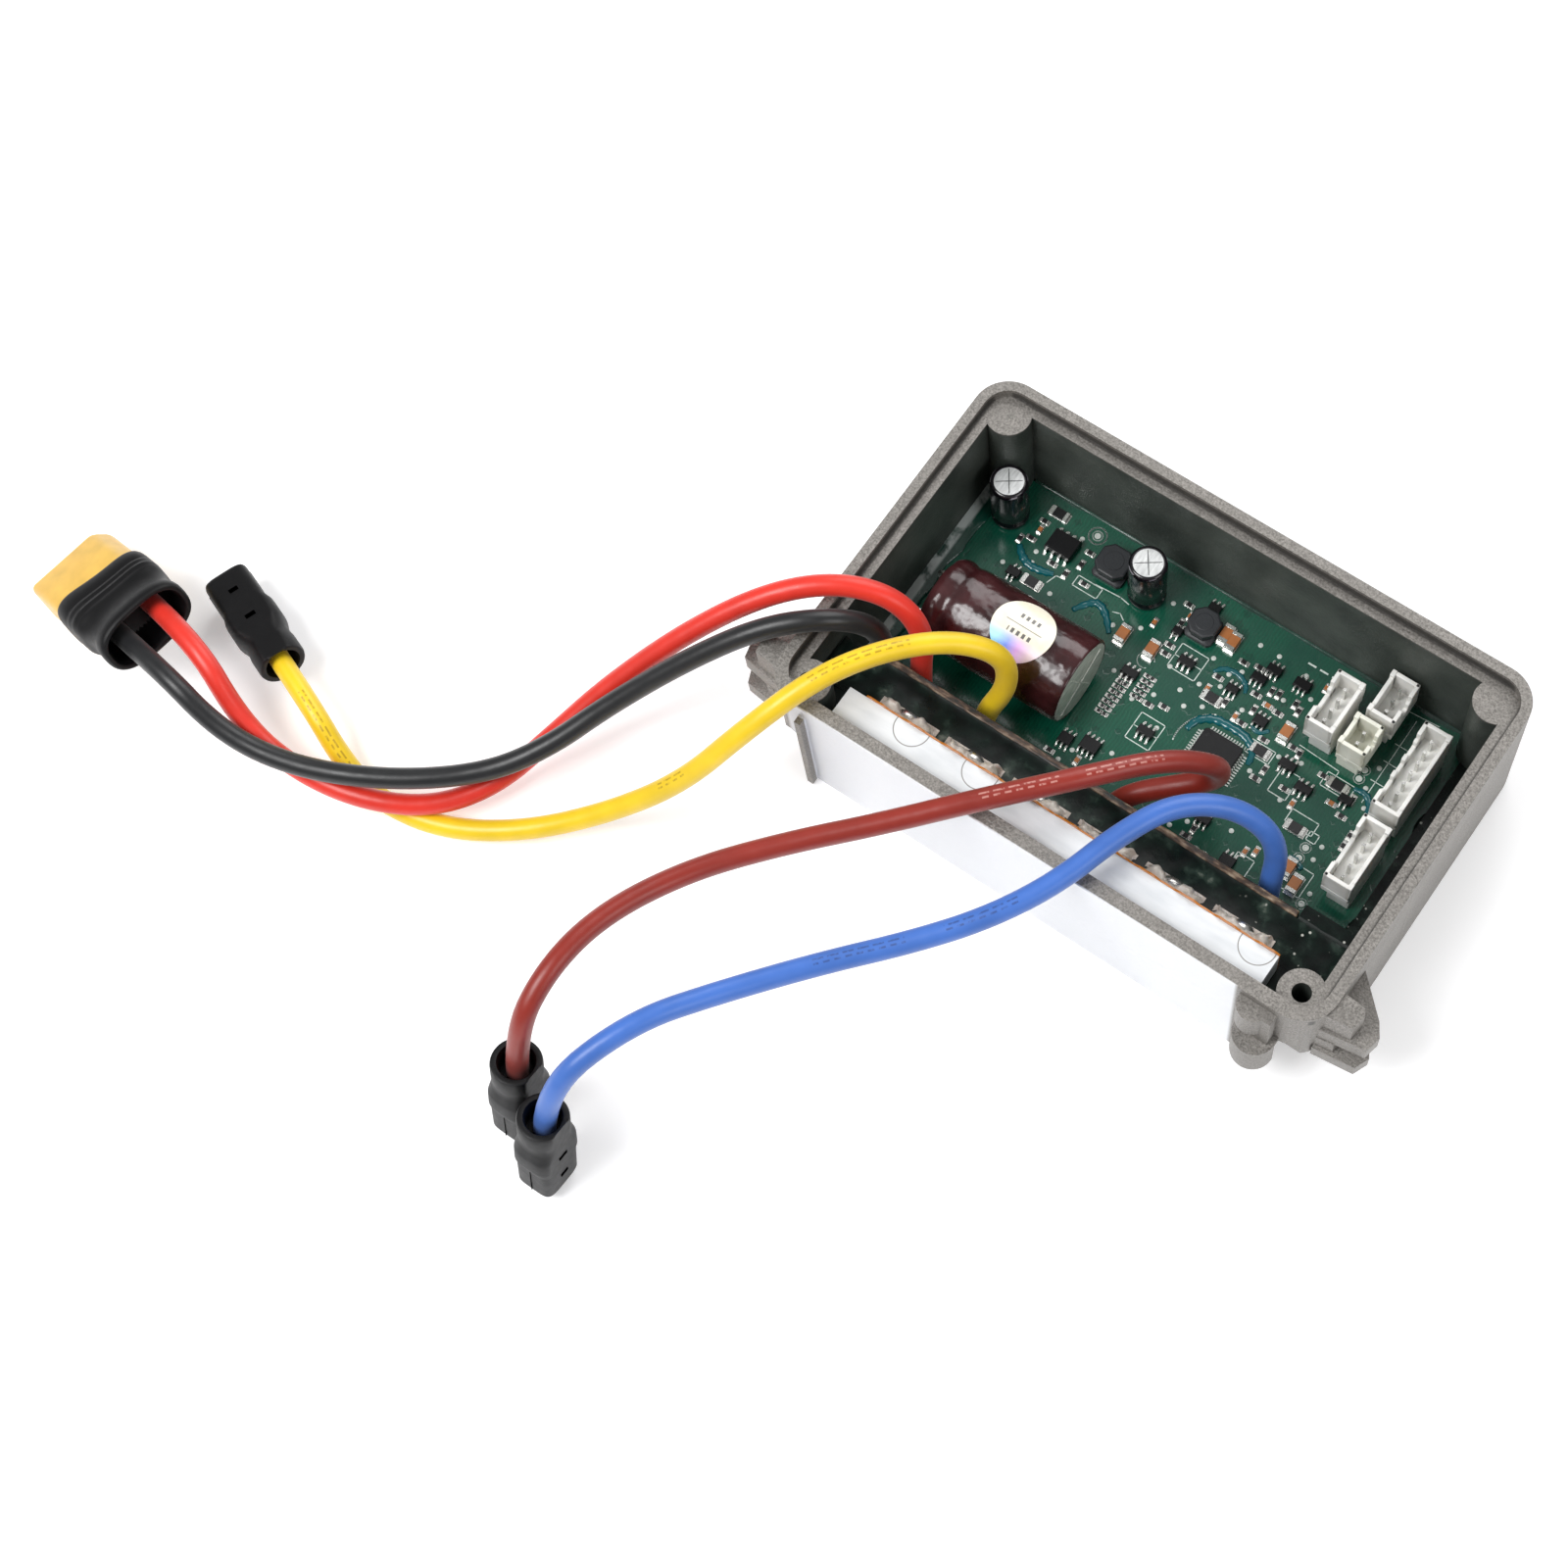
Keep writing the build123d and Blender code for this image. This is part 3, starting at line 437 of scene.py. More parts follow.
def sleeve_film():
    """Shiny maroon shrink sleeve with faint cloudy patches and creases."""
    f = Finish("capacitor_sleeve", 0.24, Coat_Weight=0.3, Coat_Roughness=0.12)
    cloud = f.noise(5.0, 4.0)
    f.paint(f.ramp(cloud, (0.3, colour(40, 20, 21)), (0.55, colour(62, 31, 33)), (0.8, colour(78, 44, 46))))
    f.roughen(f.noise(3.0), 0.14, 0.34)
    dents = f.bump(f.noise(4.0, 2.0), 0.7)
    f.bump(f.noise(2.2, 3.0, (0.4, 1.0, 1.0)), 0.1, 0.5, dents)
    return f.material


def sticker_paper():
    """A cream round label with a silvery rainbow part, one ruled line and plain bars."""
    f = Finish("sticker_paper", 0.3)
    x, y, _ = f.axes()
    x = f.minus(x, STICKER_X)
    y = f.minus(y, BULK_Y)
    hue = f.plus(f.times(x, 0.16), 0.5)
    rainbow = f.ramp(hue, (0.0, colour(150, 220, 250)), (0.35, colour(120, 150, 250)),
                     (0.65, colour(225, 170, 240)), (1.0, colour(250, 225, 235)))
    cream = f.mix(f.step(f.noise(1.5), 0.3, 0.7), colour(250, 244, 226), colour(240, 232, 208))
    shade = f.mix(f.step(y, -1.3, -2.6), cream, rainbow)
    line = f.times(between(f, y, 0.2, 0.34, 0.03), between(f, x, -3.2, 3.2))
    bars = f.times(between(f, y, 1.5, 2.3), between(f, x, -2.0, 2.0))
    gaps = f.step(f.wrapped(x, 1.0), 0.45, 0.5)
    lower = f.times(between(f, y, -1.5, -0.7), between(f, x, -2.2, 2.2))
    ink = f.plus(line, f.times(gaps, f.plus(bars, lower)))
    f.paint(f.mix(f.times(ink, 0.85), shade, colour(40, 44, 60)))
    f.bump(f.noise(1.2), 0.02, 0.5)
    return f.material


def heat_bar_metal():
    """Milled aluminium with half-round tool marks along its back edge."""
    f = Finish("bar_aluminium", 0.4, metallic=0.3)
    streak = f.noise(2.0, 3.0, (0.25, 1.0, 1.0))
    shade = f.ramp(streak, (0.3, colour(216, 219, 222)), (0.7, colour(232, 234, 236)))
    marks = ring_mark(f, -26.6, -24.6, 2.9, 0.16)
    for x in (-14.0, 35.0):
        marks = f.larger(marks, ring_mark(f, x, -24.6, 2.9, 0.16))
    scuff = f.step(f.noise(1.6, 4.0, (0.5, 2.0, 1.0)), 0.68, 0.74)
    marks = f.larger(marks, f.times(scuff, 0.14))
    f.paint(f.mix(marks, shade, colour(128, 124, 120)))
    f.roughen(streak, 0.28, 0.5)
    f.bump(f.minus(1.0, marks), 0.02, 0.6)
    return f.material


def laminate_edge():
    """A green board whose sawn top shows beige fibres, brown scorch and dark compound."""
    f = Finish("laminate_edge", 0.45)
    fibre = f.noise(1.1, 5.0, (0.5, 1.5, 1.0))
    _, _, z = f.axes()
    sawn = f.step(z, POWER_BOARD_TOP - 0.6, POWER_BOARD_TOP - 0.35)
    edge = f.ramp(fibre, (0.36, colour(24, 24, 21)), (0.5, colour(66, 48, 35)), (0.62, colour(116, 98, 80)),
                   (0.76, colour(158, 144, 126)))
    face = f.ramp(f.noise(2.0), (0.4, colour(10, 52, 41)), (0.7, colour(17, 74, 58)))
    f.paint(f.mix(sawn, face, edge))
    f.bump(fibre, 0.2, 0.8)
    return f.material


def tab_metal():
    """Tinned transistor tabs, dulled by paste on top, over black moulded bodies."""
    f = Finish("transistor_package", 0.4, metallic=0.35)
    _, _, z = f.axes()
    smear = f.noise(1.6, 4.0)
    tab = f.ramp(smear, (0.35, colour(156, 144, 132)), (0.6, colour(206, 192, 178)),
                 (0.8, colour(222, 212, 202)))
    f.paint(f.mix(f.step(z, 16.35, 16.25), tab, colour(24, 24, 26)))
    f.roughen(smear, 0.3, 0.55)
    f.bump(smear, 0.06, 0.6)
    return f.material


def can_metal(name, dull, bright):
    """The end of a capacitor's can, streaked along one way."""
    f = Finish(name, 0.36, metallic=0.35)
    streak = f.noise(0.45, 4.0, (1.0, 0.25, 1.0))
    f.paint(f.ramp(streak, (0.3, dull), (0.7, bright)))
    f.roughen(streak, 0.22, 0.45)
    f.bump(streak, 0.04, 0.7)
    return f.material


def small_can_sleeve():
    """Near-black sleeve with a purple tinge and a dashed pale stripe round its top."""
    f = Finish("small_can_sleeve", 0.2, Coat_Weight=0.25, Coat_Roughness=0.1)
    _, _, z = f.axes()
    tint = f.ramp(f.noise(3.0), (0.3, colour(12, 11, 14)), (0.75, colour(26, 20, 29)))
    dashes = f.step(f.noise(1.6, 0.0), 0.52, 0.56)
    stripe = f.times(between(f, z, 16.9, 17.25), dashes)
    f.paint(f.mix(f.times(stripe, 0.55), tint, colour(190, 186, 196)))
    f.bump(f.noise(2.2), 0.08, 0.6)
    return f.material


def milky_paste():
    """Pale pinkish heat paste, lumpy and moist."""
    f = Finish("milky_paste", 0.28, Coat_Weight=0.3, Coat_Roughness=0.1, Subsurface_Weight=0.1)
    lumps = f.noise(1.3, 4.0)
    f.paint(f.ramp(lumps, (0.3, colour(144, 130, 120)), (0.46, colour(196, 183, 172)),
                   (0.75, colour(216, 206, 197))))
    f.bump(lumps, 0.12, 0.8)
    return f.material


def printed_white():
    """Thin white ink that lets some green through."""
    f = Finish("silkscreen_white", 0.5)
    worn = f.noise(0.6, 3.0)
    f.paint(f.ramp(worn, (0.3, colour(150, 176, 164)), (0.5, colour(212, 222, 216))))
    return f.material


# ---- meshes ----
def show(name, mesh, material, replaced, smooth):
    """Puts a finished mesh in the scene on the controller's one body."""
    made = bpy.data.objects.new(name, mesh)
    bpy.context.collection.objects.link(made)
    for finish in material if isinstance(material, (list, tuple)) else [material]:
        mesh.materials.append(finish)
    mesh.shade_smooth()
    mesh.set_sharp_from_angle(angle=radians(smooth))
    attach(made, BODY)
    if replaced:
        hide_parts(*replaced)
    return made


def finish_mesh(name, bm, place):
    """Turns millimetre bmesh data into a mesh in metres, in the part's frame."""
    bmesh.ops.recalc_face_normals(bm, faces=bm.faces)
    bmesh.ops.transform(bm, matrix=Matrix.Scale(MM, 4) @ place, verts=bm.verts)
    mesh = bpy.data.meshes.new(name)
    bm.to_mesh(mesh)
    bm.free()
    return mesh


def piece(name, bm, material, replaced=(), smooth=32.0, place=Matrix.Identity(4)):
    """A piece from bmesh data in millimetres."""
    return show(name, finish_mesh(name, bm, place), material, replaced, smooth)


def rounded(made, width):
    """Small rounds on the piece's sharp edges."""
    bevel = made.modifiers.new("edge_rounds", "BEVEL")
    bevel.width = width * MM
    bevel.segments = 2
    bevel.limit_method = "ANGLE"
    bevel.angle_limit = radians(30.0)
    bevel.harden_normals = False


def clean_copy(node):
    """The CAD node's shape as one joined bmesh in millimetres, with flat faces whole."""
    bm = bmesh.new()
    bm.from_mesh(frame["nodes"][node].data)
    bmesh.ops.remove_doubles(bm, verts=bm.verts, dist=1e-6)
    bmesh.ops.dissolve_limit(bm, angle_limit=radians(0.6), verts=bm.verts, edges=bm.edges)
    bmesh.ops.transform(bm, matrix=Matrix.Scale(1 / MM, 4), verts=bm.verts)
    return bm


def smoothed(made):
    """Subdivides a closely modelled piece once."""
    smooth = made.modifiers.new("smooth", "SUBSURF")
    smooth.levels = smooth.render_levels = 1


def softened(node, material, width):
    """A CAD node shown with its edges rounded."""
    rounded(piece(node + "_rounded", clean_copy(node), material, (node,)), width)


def add_box(bm, x0, x1, y0, y1, z0, z1, material=0):
    """A plain block between these planes."""
    corners = [bm.verts.new((x, y, z)) for x in (x0, x1) for y in (y0, y1) for z in (z0, z1)]
    for sides in ((0, 1, 3, 2), (4, 6, 7, 5), (0, 4, 5, 1), (2, 3, 7, 6), (0, 2, 6, 4), (1, 5, 7, 3)):
        bm.faces.new([corners[i] for i in sides]).material_index = material


def full_turn(count):
    """Angles evenly spaced round a circle."""
    return [2 * pi * i / count for i in range(count)]


def add_loft(bm, rings, material=0):
    """Closed skin over rings of points that all have the same count."""
    rows = [[bm.verts.new(point) for point in ring] for ring in rings]
    count = len(rows[0])
    for near, far in zip(rows, rows[1:]):
        for i in range(count):
            j = (i + 1) % count
            bm.faces.new((near[i], near[j], far[j], far[i])).material_index = material
    bm.faces.new(rows[0][::-1]).material_index = material
    bm.faces.new(rows[-1]).material_index = material


def add_lathe(bm, profile, centre=(0, 0, 0), segments=40, material=0):
    """A turned shape about Z from (radius, height) pairs."""
    x, y, z = centre
    turns = full_turn(segments)
    rings = [[(x + r * cos(t), y + r * sin(t), z + height) for t in turns] for r, height in profile]
    add_loft(bm, rings, material)


def repaint(nodes, material):
    """Gives CAD nodes that are shown as they are a better finish."""
    for node in nodes:
        for slot in frame["nodes"][node].material_slots:
            slot.link = "OBJECT"
            slot.material = material


# ---- the board's small parts ----
# x, y of round solder test pads
TEST_PADS = (
    (-44.0, 19.0), (-36.5, 13.5), (-33.0, 18.0), (-32.5, 16.0), (-27.0, 13.0), (-28.0, 24.0), (-15.5, 14.0),
    (-11.5, 16.0), (-6.5, 18.0), (-9.5, 22.5), (-11.0, 7.5), (-4.0, 13.0), (1.0, 18.0), (1.5, 13.0),
    (4.5, 14.5), (4.5, 17.0), (-0.5, 10.5), (-3.5, 7.5), (-6.0, 5.0), (1.5, 8.5), (4.0, 10.0), (6.0, 24.0),
    (9.5, 24.0), (6.0, 18.5), (14.8, 23.5), (17.5, 20.5), (14.0, 18.0), (9.5, 13.0), (17.0, 12.0),
    (16.5, 8.5), (18.5, 9.5), (22.0, 10.5), (16.0, 5.0), (22.5, 3.5), (12.5, -7.5), (10.5, -9.5),
    (19.0, -5.0), (-9.0, -7.5), (-3.5, -4.5), (0.0, 3.0), (-10.0, -10.0), (32.5, 16.5), (32.5, 12.5),
    (34.0, 9.5), (32.0, 0.5), (32.0, -2.0), (34.5, -7.0),
)
RING_PADS = (
    (-26.2, 25.8), (30.0, -1.0), (30.0, -3.0), (34.3, -9.1), (16.0, -11.0), (17.5, -11.0), (30.8, 15.0),
    (30.8, 13.3),
)
CERAMIC_CAPS = (
    (-13.2, 13.3), (0.6, 22.3), (2.2, 21.8), (17.4, 13.4), (29.6, -5.4), (31.8, -7.2), (-7.9, 13.6),
)
CHIP_RESISTORS = ((28.7, 10.4), (27.0, 0.8), (-30.5, 13.0), (15.6, 8.6), (-33.5, 25.6), (4.5, 12.0))
SQUARE_PACKAGES = ((-1.0, 1.3), (-2.1, 14.9), (24.6, 6.9), (20.5, 8.9), (-8.6, 8.4))
# x, y and whether it lies along X, of the smallest chip parts
TINY_CHIPS = (
    (-36.5, 18.5, 0), (-35.0, 19.5, 1), (-34.6, 21.6, 0), (-34.8, 23.2, 1), (-29.6, 17.6, 1),
    (-26.8, 17.2, 0), (-25.5, 22.5, 1), (-25.6, 20.0, 0), (-23.3, 17.4, 1), (-6.0, 16.0, 1), (-5.8, 14.4, 1),
    (-10.2, 18.0, 0), (-6.0, 22.0, 0), (-6.6, 20.2, 0), (-7.2, 23.6, 1), (3.4, 15.6, 1), (3.0, 13.0, 0),
    (6.6, 12.6, 0), (10.0, 16.4, 1), (11.7, 18.2, 0), (12.9, 18.4, 0), (12.5, 15.8, 1), (11.0, 14.0, 0),
    (14.5, 15.6, 1), (16.0, 18.4, 0), (17.0, 17.6, 0), (8.0, 20.6, 1), (9.2, 11.4, 0), (10.6, 11.0, 1),
    (-3.3, 5.6, 1), (-1.0, 6.6, 1), (14.8, 8.8, 0), (15.0, 10.6, 1), (19.6, 12.0, 1), (20.9, 11.6, 0),
    (17.8, 6.4, 0), (17.4, 4.4, 1), (14.0, -8.0, 0), (13.6, -9.6, 1), (22.6, -6.8, 0), (24.0, -5.8, 0),
    (22.1, 5.4, 1), (24.4, 3.9, 0), (29.4, 7.4, 1), (31.8, 9.7, 0), (31.8, 6.4, 1), (34.6, 2.4, 0),
    (34.6, 4.4, 0), (26.0, 10.6, 1), (0.0, -4.5, 0), (-12.0, -9.5, 1), (-7.4, -8.6, 0), (5.4, 20.0, 1),
    (18.6, 23.4, 0),
)
# x, y of the first and how many stand in the row
TINY_ARRAYS = ((-9.2, 0.4, 8), (-8.2, 0.4, 8), (-6.0, 5.6, 5), (-5.1, 5.6, 5))
# x, y, length, width and leads on each side
BLACK_PACKAGES = (
    (8.9, 18.9, 2.6, 1.6, 3), (10.2, 21.4, 2.6, 1.6, 3), (15.2, 21.7, 2.9, 1.8, 3), (6.4, 15.0, 2.2, 1.4, 3),
    (13.0, 12.8, 2.4, 1.8, 3), (-33.9, 12.8, 2.4, 1.6, 2), (-7.0, -5.4, 3.2, 2.4, 4),
    (14.4, -5.9, 2.6, 1.6, 3), (-10.8, -6.6, 2.4, 2.0, 3), (31.0, 9.0, 2.4, 1.5, 2),
    (-3.4, 25.2, 2.2, 1.6, 3), (-6.2, 18.6, 1.8, 1.4, 2), (21.2, -9.7, 2.6, 2.0, 3),
)
# centre x, y, length and width
OUTLINES = (
    (-1.2, 1.5, 4.4, 5.0), (-2.0, 15.2, 5.0, 4.6), (21.6, 6.1, 3.2, 4.6), (28.7, 10.4, 5.0, 2.6),
    (27.3, 2.2, 4.8, 2.4), (15.6, 8.6, 4.4, 2.4), (23.2, -9.6, 3.0, 4.6), (30.6, -6.3, 5.6, 4.6),
    (-22.6, 17.3, 4.6, 2.0),
)
# line width and the points that the line joins
PRINTED_LINES = (
    (0.15, ((-3.4, 1.5), (1.0, 1.5))),
    (0.15, ((-4.5, 15.2), (0.5, 15.2))),
    (0.16, ((-21.7, 18.4), (-17.1, 18.7), (-15.4, 18.4))),
    (0.16, ((-28.5, 14.4), (-27.9, 16.2), (-26.4, 16.4))),
    (0.16, ((-16.8, 15.9), (-15.6, 16.3), (-14.6, 15.6))),
    (0.14, ((30.9, 27.2), (36.6, 27.6))),
    (0.14, ((33.2, 26.4), (33.2, 10.2))),
    (0.14, ((20.2, 13.0), (27.6, 12.6), (27.6, 9.0))),
)
# centre x, y, radius, first and last angle, steps and line width
PRINTED_ARCS = (
    (-26.2, 25.8, 1.5, 0, 360, 36, 0.22),
    (-7.8, 11.8, 1.4, 20, 300, 24, 0.16),
    (9.6, 4.2, 6.6, 118, 192, 24, 0.22),
)
# radius of a run of adhesive and the points it goes through
BEADS = (
    (0.75, ((-36.0, 17.6), (-34.5, 16.2), (-32.6, 15.4), (-30.4, 15.6), (-28.4, 16.2))),
    (0.7, ((-22.4, 12.6), (-20.8, 15.0), (-19.4, 15.8), (-17.4, 14.8), (-15.2, 12.4))),
    (0.8, ((4.0, 5.4), (4.6, 7.6), (6.6, 9.2), (9.4, 9.6), (12.4, 9.4), (14.6, 8.0), (15.2, 5.6))),
    (0.5, ((2.2, 16.0), (3.4, 17.4), (5.6, 17.8), (7.6, 17.0), (8.4, 15.6))),
    (0.6, ((31.0, 11.4), (33.0, 11.6), (34.6, 10.2), (34.9, 8.4))),
    (0.6, ((28.0, -4.6), (29.4, -3.6), (31.4, -4.4))),
    (0.45, ((12.0, 11.6), (13.6, 11.2), (15.0, 12.4))),
)


def add_chip(bm, x, y, length, width, height, along_x, body):
    """A block with tinned ends: material 0 is tin and the body has its own."""
    half_l, half_w = length / 2, width / 2
    end = length * 0.2
    inner = half_l - end
    spans = ((-half_l, -inner, 0, 0.03), (inner, half_l, 0, 0.03), (-inner, inner, body, 0))
    for low, high, material, proud in spans:
        wide = half_w + proud
        corners = (low, high, -wide, wide) if along_x else (-wide, wide, low, high)
        x0, x1, y0, y1 = corners
        add_box(bm, x + x0, x + x1, y + y0, y + y1, BOARD_TOP, BOARD_TOP + height + proud, material)
    pad_l, pad_w = half_l + 0.3, half_w + 0.12
    if not along_x:
        pad_l, pad_w = pad_w, pad_l
    add_box(bm, x - pad_l, x + pad_l, y - pad_w, y + pad_w, BOARD_TOP, BOARD_TOP + 0.06, 0)


def chip_parts(tin, black, brown):
    """The chip capacitors, the chip resistors and the smallest chips."""
    bm = bmesh.new()
    for x, y in CERAMIC_CAPS:
        add_chip(bm, x, y, 3.2, 1.7, 1.4, False, 1)
    rounded(piece("ceramic_chip_parts", bm, (tin, brown), ("ceramic_capacitors",)), 0.1)
    bm = bmesh.new()
    for x, y in CHIP_RESISTORS:
        add_chip(bm, x, y, 3.2, 1.6, 0.6, True, 1)
    rounded(piece("chip_resistor_parts", bm, (tin, black), ("chip_resistors",)), 0.06)
    bm = bmesh.new()
    shuffled = random.Random(7)
    for x, y, along_x in TINY_CHIPS:
        add_chip(bm, x, y, 1.35, 0.68, 0.42, bool(along_x), shuffled.choice((1, 1, 1, 2)))
    for x, y0, count in TINY_ARRAYS:
        for i in range(count):
            add_chip(bm, x, y0 + i, 0.85, 0.5, 0.35, True, 1)
    rounded(piece("tiny_chip_parts", bm, (tin, black, brown)), 0.05)


def add_gull(bm, x, y, length, width, height, pins, pitch, lead_width=0.42):
    """A moulded package, material 0, with bent tinned leads, material 1, on its two long sides."""
    low, high = BOARD_TOP + 0.1, BOARD_TOP + height
    waist = (low + high) / 2
    half_l, half_w = length / 2, width / 2
    rings = []
    for z, inset in ((low, 0.12), (waist, 0.0), (high, 0.12)):
        dx, dy = half_l - inset, half_w - inset
        rings.append([(x - dx, y - dy, z), (x + dx, y - dy, z), (x + dx, y + dy, z), (x - dx, y + dy, z)])
    add_loft(bm, rings, 0)
    for side in (-1, 1):
        for i in range(pins):
            at = x + (i - (pins - 1) / 2) * pitch
            x0, x1 = at - lead_width / 2, at + lead_width / 2
            root = y + side * half_w
            for near, far, z0, z1 in (
                (-0.1, 0.35, waist - 0.1, waist + 0.1),
                (0.25, 0.45, BOARD_TOP, waist + 0.1),
                (0.35, 0.9, BOARD_TOP, BOARD_TOP + 0.18),
            ):
                add_box(bm, x0, x1, *sorted((root + side * near, root + side * far)), z0, z1, 1)


def packages(black, tin):
    """The moulded packages with bent leads."""
    bm = bmesh.new()
    for x, y in SQUARE_PACKAGES:
        add_gull(bm, x, y, 2.9, 1.6, 1.1, 3, 0.95)
    rounded(piece("signal_transistor_parts", bm, (black, tin), ("signal_transistors",)), 0.06)
    bm = bmesh.new()
    add_gull(bm, -29.8, 21.0, 4.9, 3.9, 1.6, 4, 1.27, 0.45)
    add_lathe(bm, ((0.35, 1.6), (0.3, 1.63), (0.05, 1.63)), (-31.6, 19.6, BOARD_TOP), 20, 0)
    rounded(piece("gate_driver_part", bm, (black, tin), ("gate_driver",)), 0.06)
    bm = bmesh.new()
    for x, y, length, width, pins in BLACK_PACKAGES:
        add_gull(bm, x, y, length, width, 1.0, pins, 0.85, 0.36)
    rounded(piece("small_package_parts", bm, (black, tin)), 0.06)


def add_stroke(bm, points, width, closed=False):
    """A thin printed line on the board through these points."""
    ends = zip(points, [*points[1:], points[0]] if closed else points[1:])
    for (x0, y0), (x1, y1) in ends:
        along = Vector((x1 - x0, y1 - y0, 0)).normalized() * width / 2
        side = Vector((-along.y, along.x, 0))
        near, far = Vector((x0, y0, 0)) - along, Vector((x1, y1, 0)) + along
        corners = (near - side, near + side, far + side, far - side)
        levels = (BOARD_TOP, BOARD_TOP + 0.045)
        add_loft(bm, [[corner + Vector((0, 0, z)) for corner in corners] for z in levels])


def arc_points(x, y, radius, start, stop, count):
    """Points along an arc, from one angle in degrees to another."""
    turns = [radians(start + (stop - start) * i / count) for i in range(count + 1)]
    return [(x + radius * cos(t), y + radius * sin(t)) for t in turns]


def rectangle(x, y, length, width):
    """The corners of an outline about its centre."""
    dx, dy = length / 2, width / 2
    return [(x - dx, y - dy), (x + dx, y - dy), (x + dx, y + dy), (x - dx, y + dy)]


def silkscreen(white):
    """The board's printed outlines, lines, arcs and rings."""
    bm = bmesh.new()
    for outline in OUTLINES:
        add_stroke(bm, rectangle(*outline), 0.15, True)
    for width, points in PRINTED_LINES:
        add_stroke(bm, points, width)
    for *arc, width in PRINTED_ARCS:
        add_stroke(bm, arc_points(*arc), width)
    for y in (14.2, 18.0, 21.4):
        add_stroke(bm, [(32.4, y), (34.6, y)], 0.14)
    for x, y in RING_PADS:
        add_stroke(bm, arc_points(x, y, 0.85, 0, 360, 20), 0.16)
    add_stroke(bm, rectangle(30.0, 1.0, 1.6, 1.6), 0.16, True)
    for x in (14.0, 16.2, 18.4):
        add_stroke(bm, [(x, 25.6), (x + 1.2, 25.6)], 0.3)
    piece("silkscreen_lines", bm, white)


def solder_pads(solder):
    """Round test pads, and dots inside the printed rings."""
    bm = bmesh.new()
    for x, y in TEST_PADS:
        add_lathe(bm, ((0.42, 0.0), (0.4, 0.06), (0.26, 0.12), (0.05, 0.14)), (x, y, BOARD_TOP), 18)
    for x, y in RING_PADS:
        add_lathe(bm, ((0.55, 0.0), (0.52, 0.08), (0.3, 0.1), (0.24, 0.02)), (x, y, BOARD_TOP), 18)
    piece("solder_pads", bm, solder)


def add_bead(bm, points, radius):
    """A soft run of adhesive on the board, thick in the middle and thin at both ends."""
    rings = []
    count = len(points)
    for i, (x, y) in enumerate(points):
        ahead, behind = points[min(i + 1, count - 1)], points[max(i - 1, 0)]
        along = Vector((ahead[0] - behind[0], ahead[1] - behind[1], 0)).normalized()
        side = Vector((-along.y, along.x, 0))
        size = radius * (0.35 + 0.65 * sin(pi * (i + 0.5) / count) ** 0.5)
        size *= 1 + 0.18 * sin(2.3 * i)
        centre = Vector((x, y, BOARD_TOP + 0.05))
        across, upward = side * size, Vector((0, 0, 0.55 * size))
        rings.append([centre + across * cos(turn) + upward * sin(turn) for turn in full_turn(12)])
    add_loft(bm, rings)


def smooth_path(points, steps=5):
    """A rounded run through a few given points."""
    path = []
    for i in range(len(points) - 1):
        before = points[max(i - 1, 0)]
        after = points[min(i + 2, len(points) - 1)]
        start, end = points[i], points[i + 1]
        for step in range(steps):
            t = step / steps
            weights = (-0.5 * t + t * t - 0.5 * t ** 3, 1 - 2.5 * t * t + 1.5 * t ** 3,
                       0.5 * t + 2 * t * t - 1.5 * t ** 3, -0.5 * t * t + 0.5 * t ** 3)
            path.append(tuple(sum(w * p[axis] for w, p in zip(weights, (before, start, end, after)))
                              for axis in range(len(start))))
    return [*path, points[-1]]


def adhesive(teal):
    """Runs of teal adhesive beside the parts they hold."""
    bm = bmesh.new()
    for radius, points in BEADS:
        add_bead(bm, smooth_path(points), radius)
    piece("adhesive_beads", bm, teal, smooth=80.0)


def microcontroller_marks(black):
    """The processor's shallow pin-one dimple, without any lettering."""
    bm = bmesh.new()
    x, y = CHIP_CENTRE
    add_lathe(bm, ((0.5, 0.0), (0.42, 0.05), (0.05, 0.03)), (x - 2.6, y + 2.6, BOARD_TOP + 1.49), 24)
    piece("microcontroller_dimple", bm, black)


# ---- round parts ----
def lying_x(x, y, z):
    """Places a turned shape with its axis along X."""
    return Matrix.Translation((x, y, z)) @ Matrix.Rotation(radians(90), 4, "Y")


def wrinkle(turn, near_end):
    """Shrink-sleeve creases, deepest at an end."""
    waves = sin(7 * turn) + 0.6 * sin(11 * turn + 1.3) + 0.5 * sin(17 * turn + 0.4)
    return 0.09 * near_end * waves


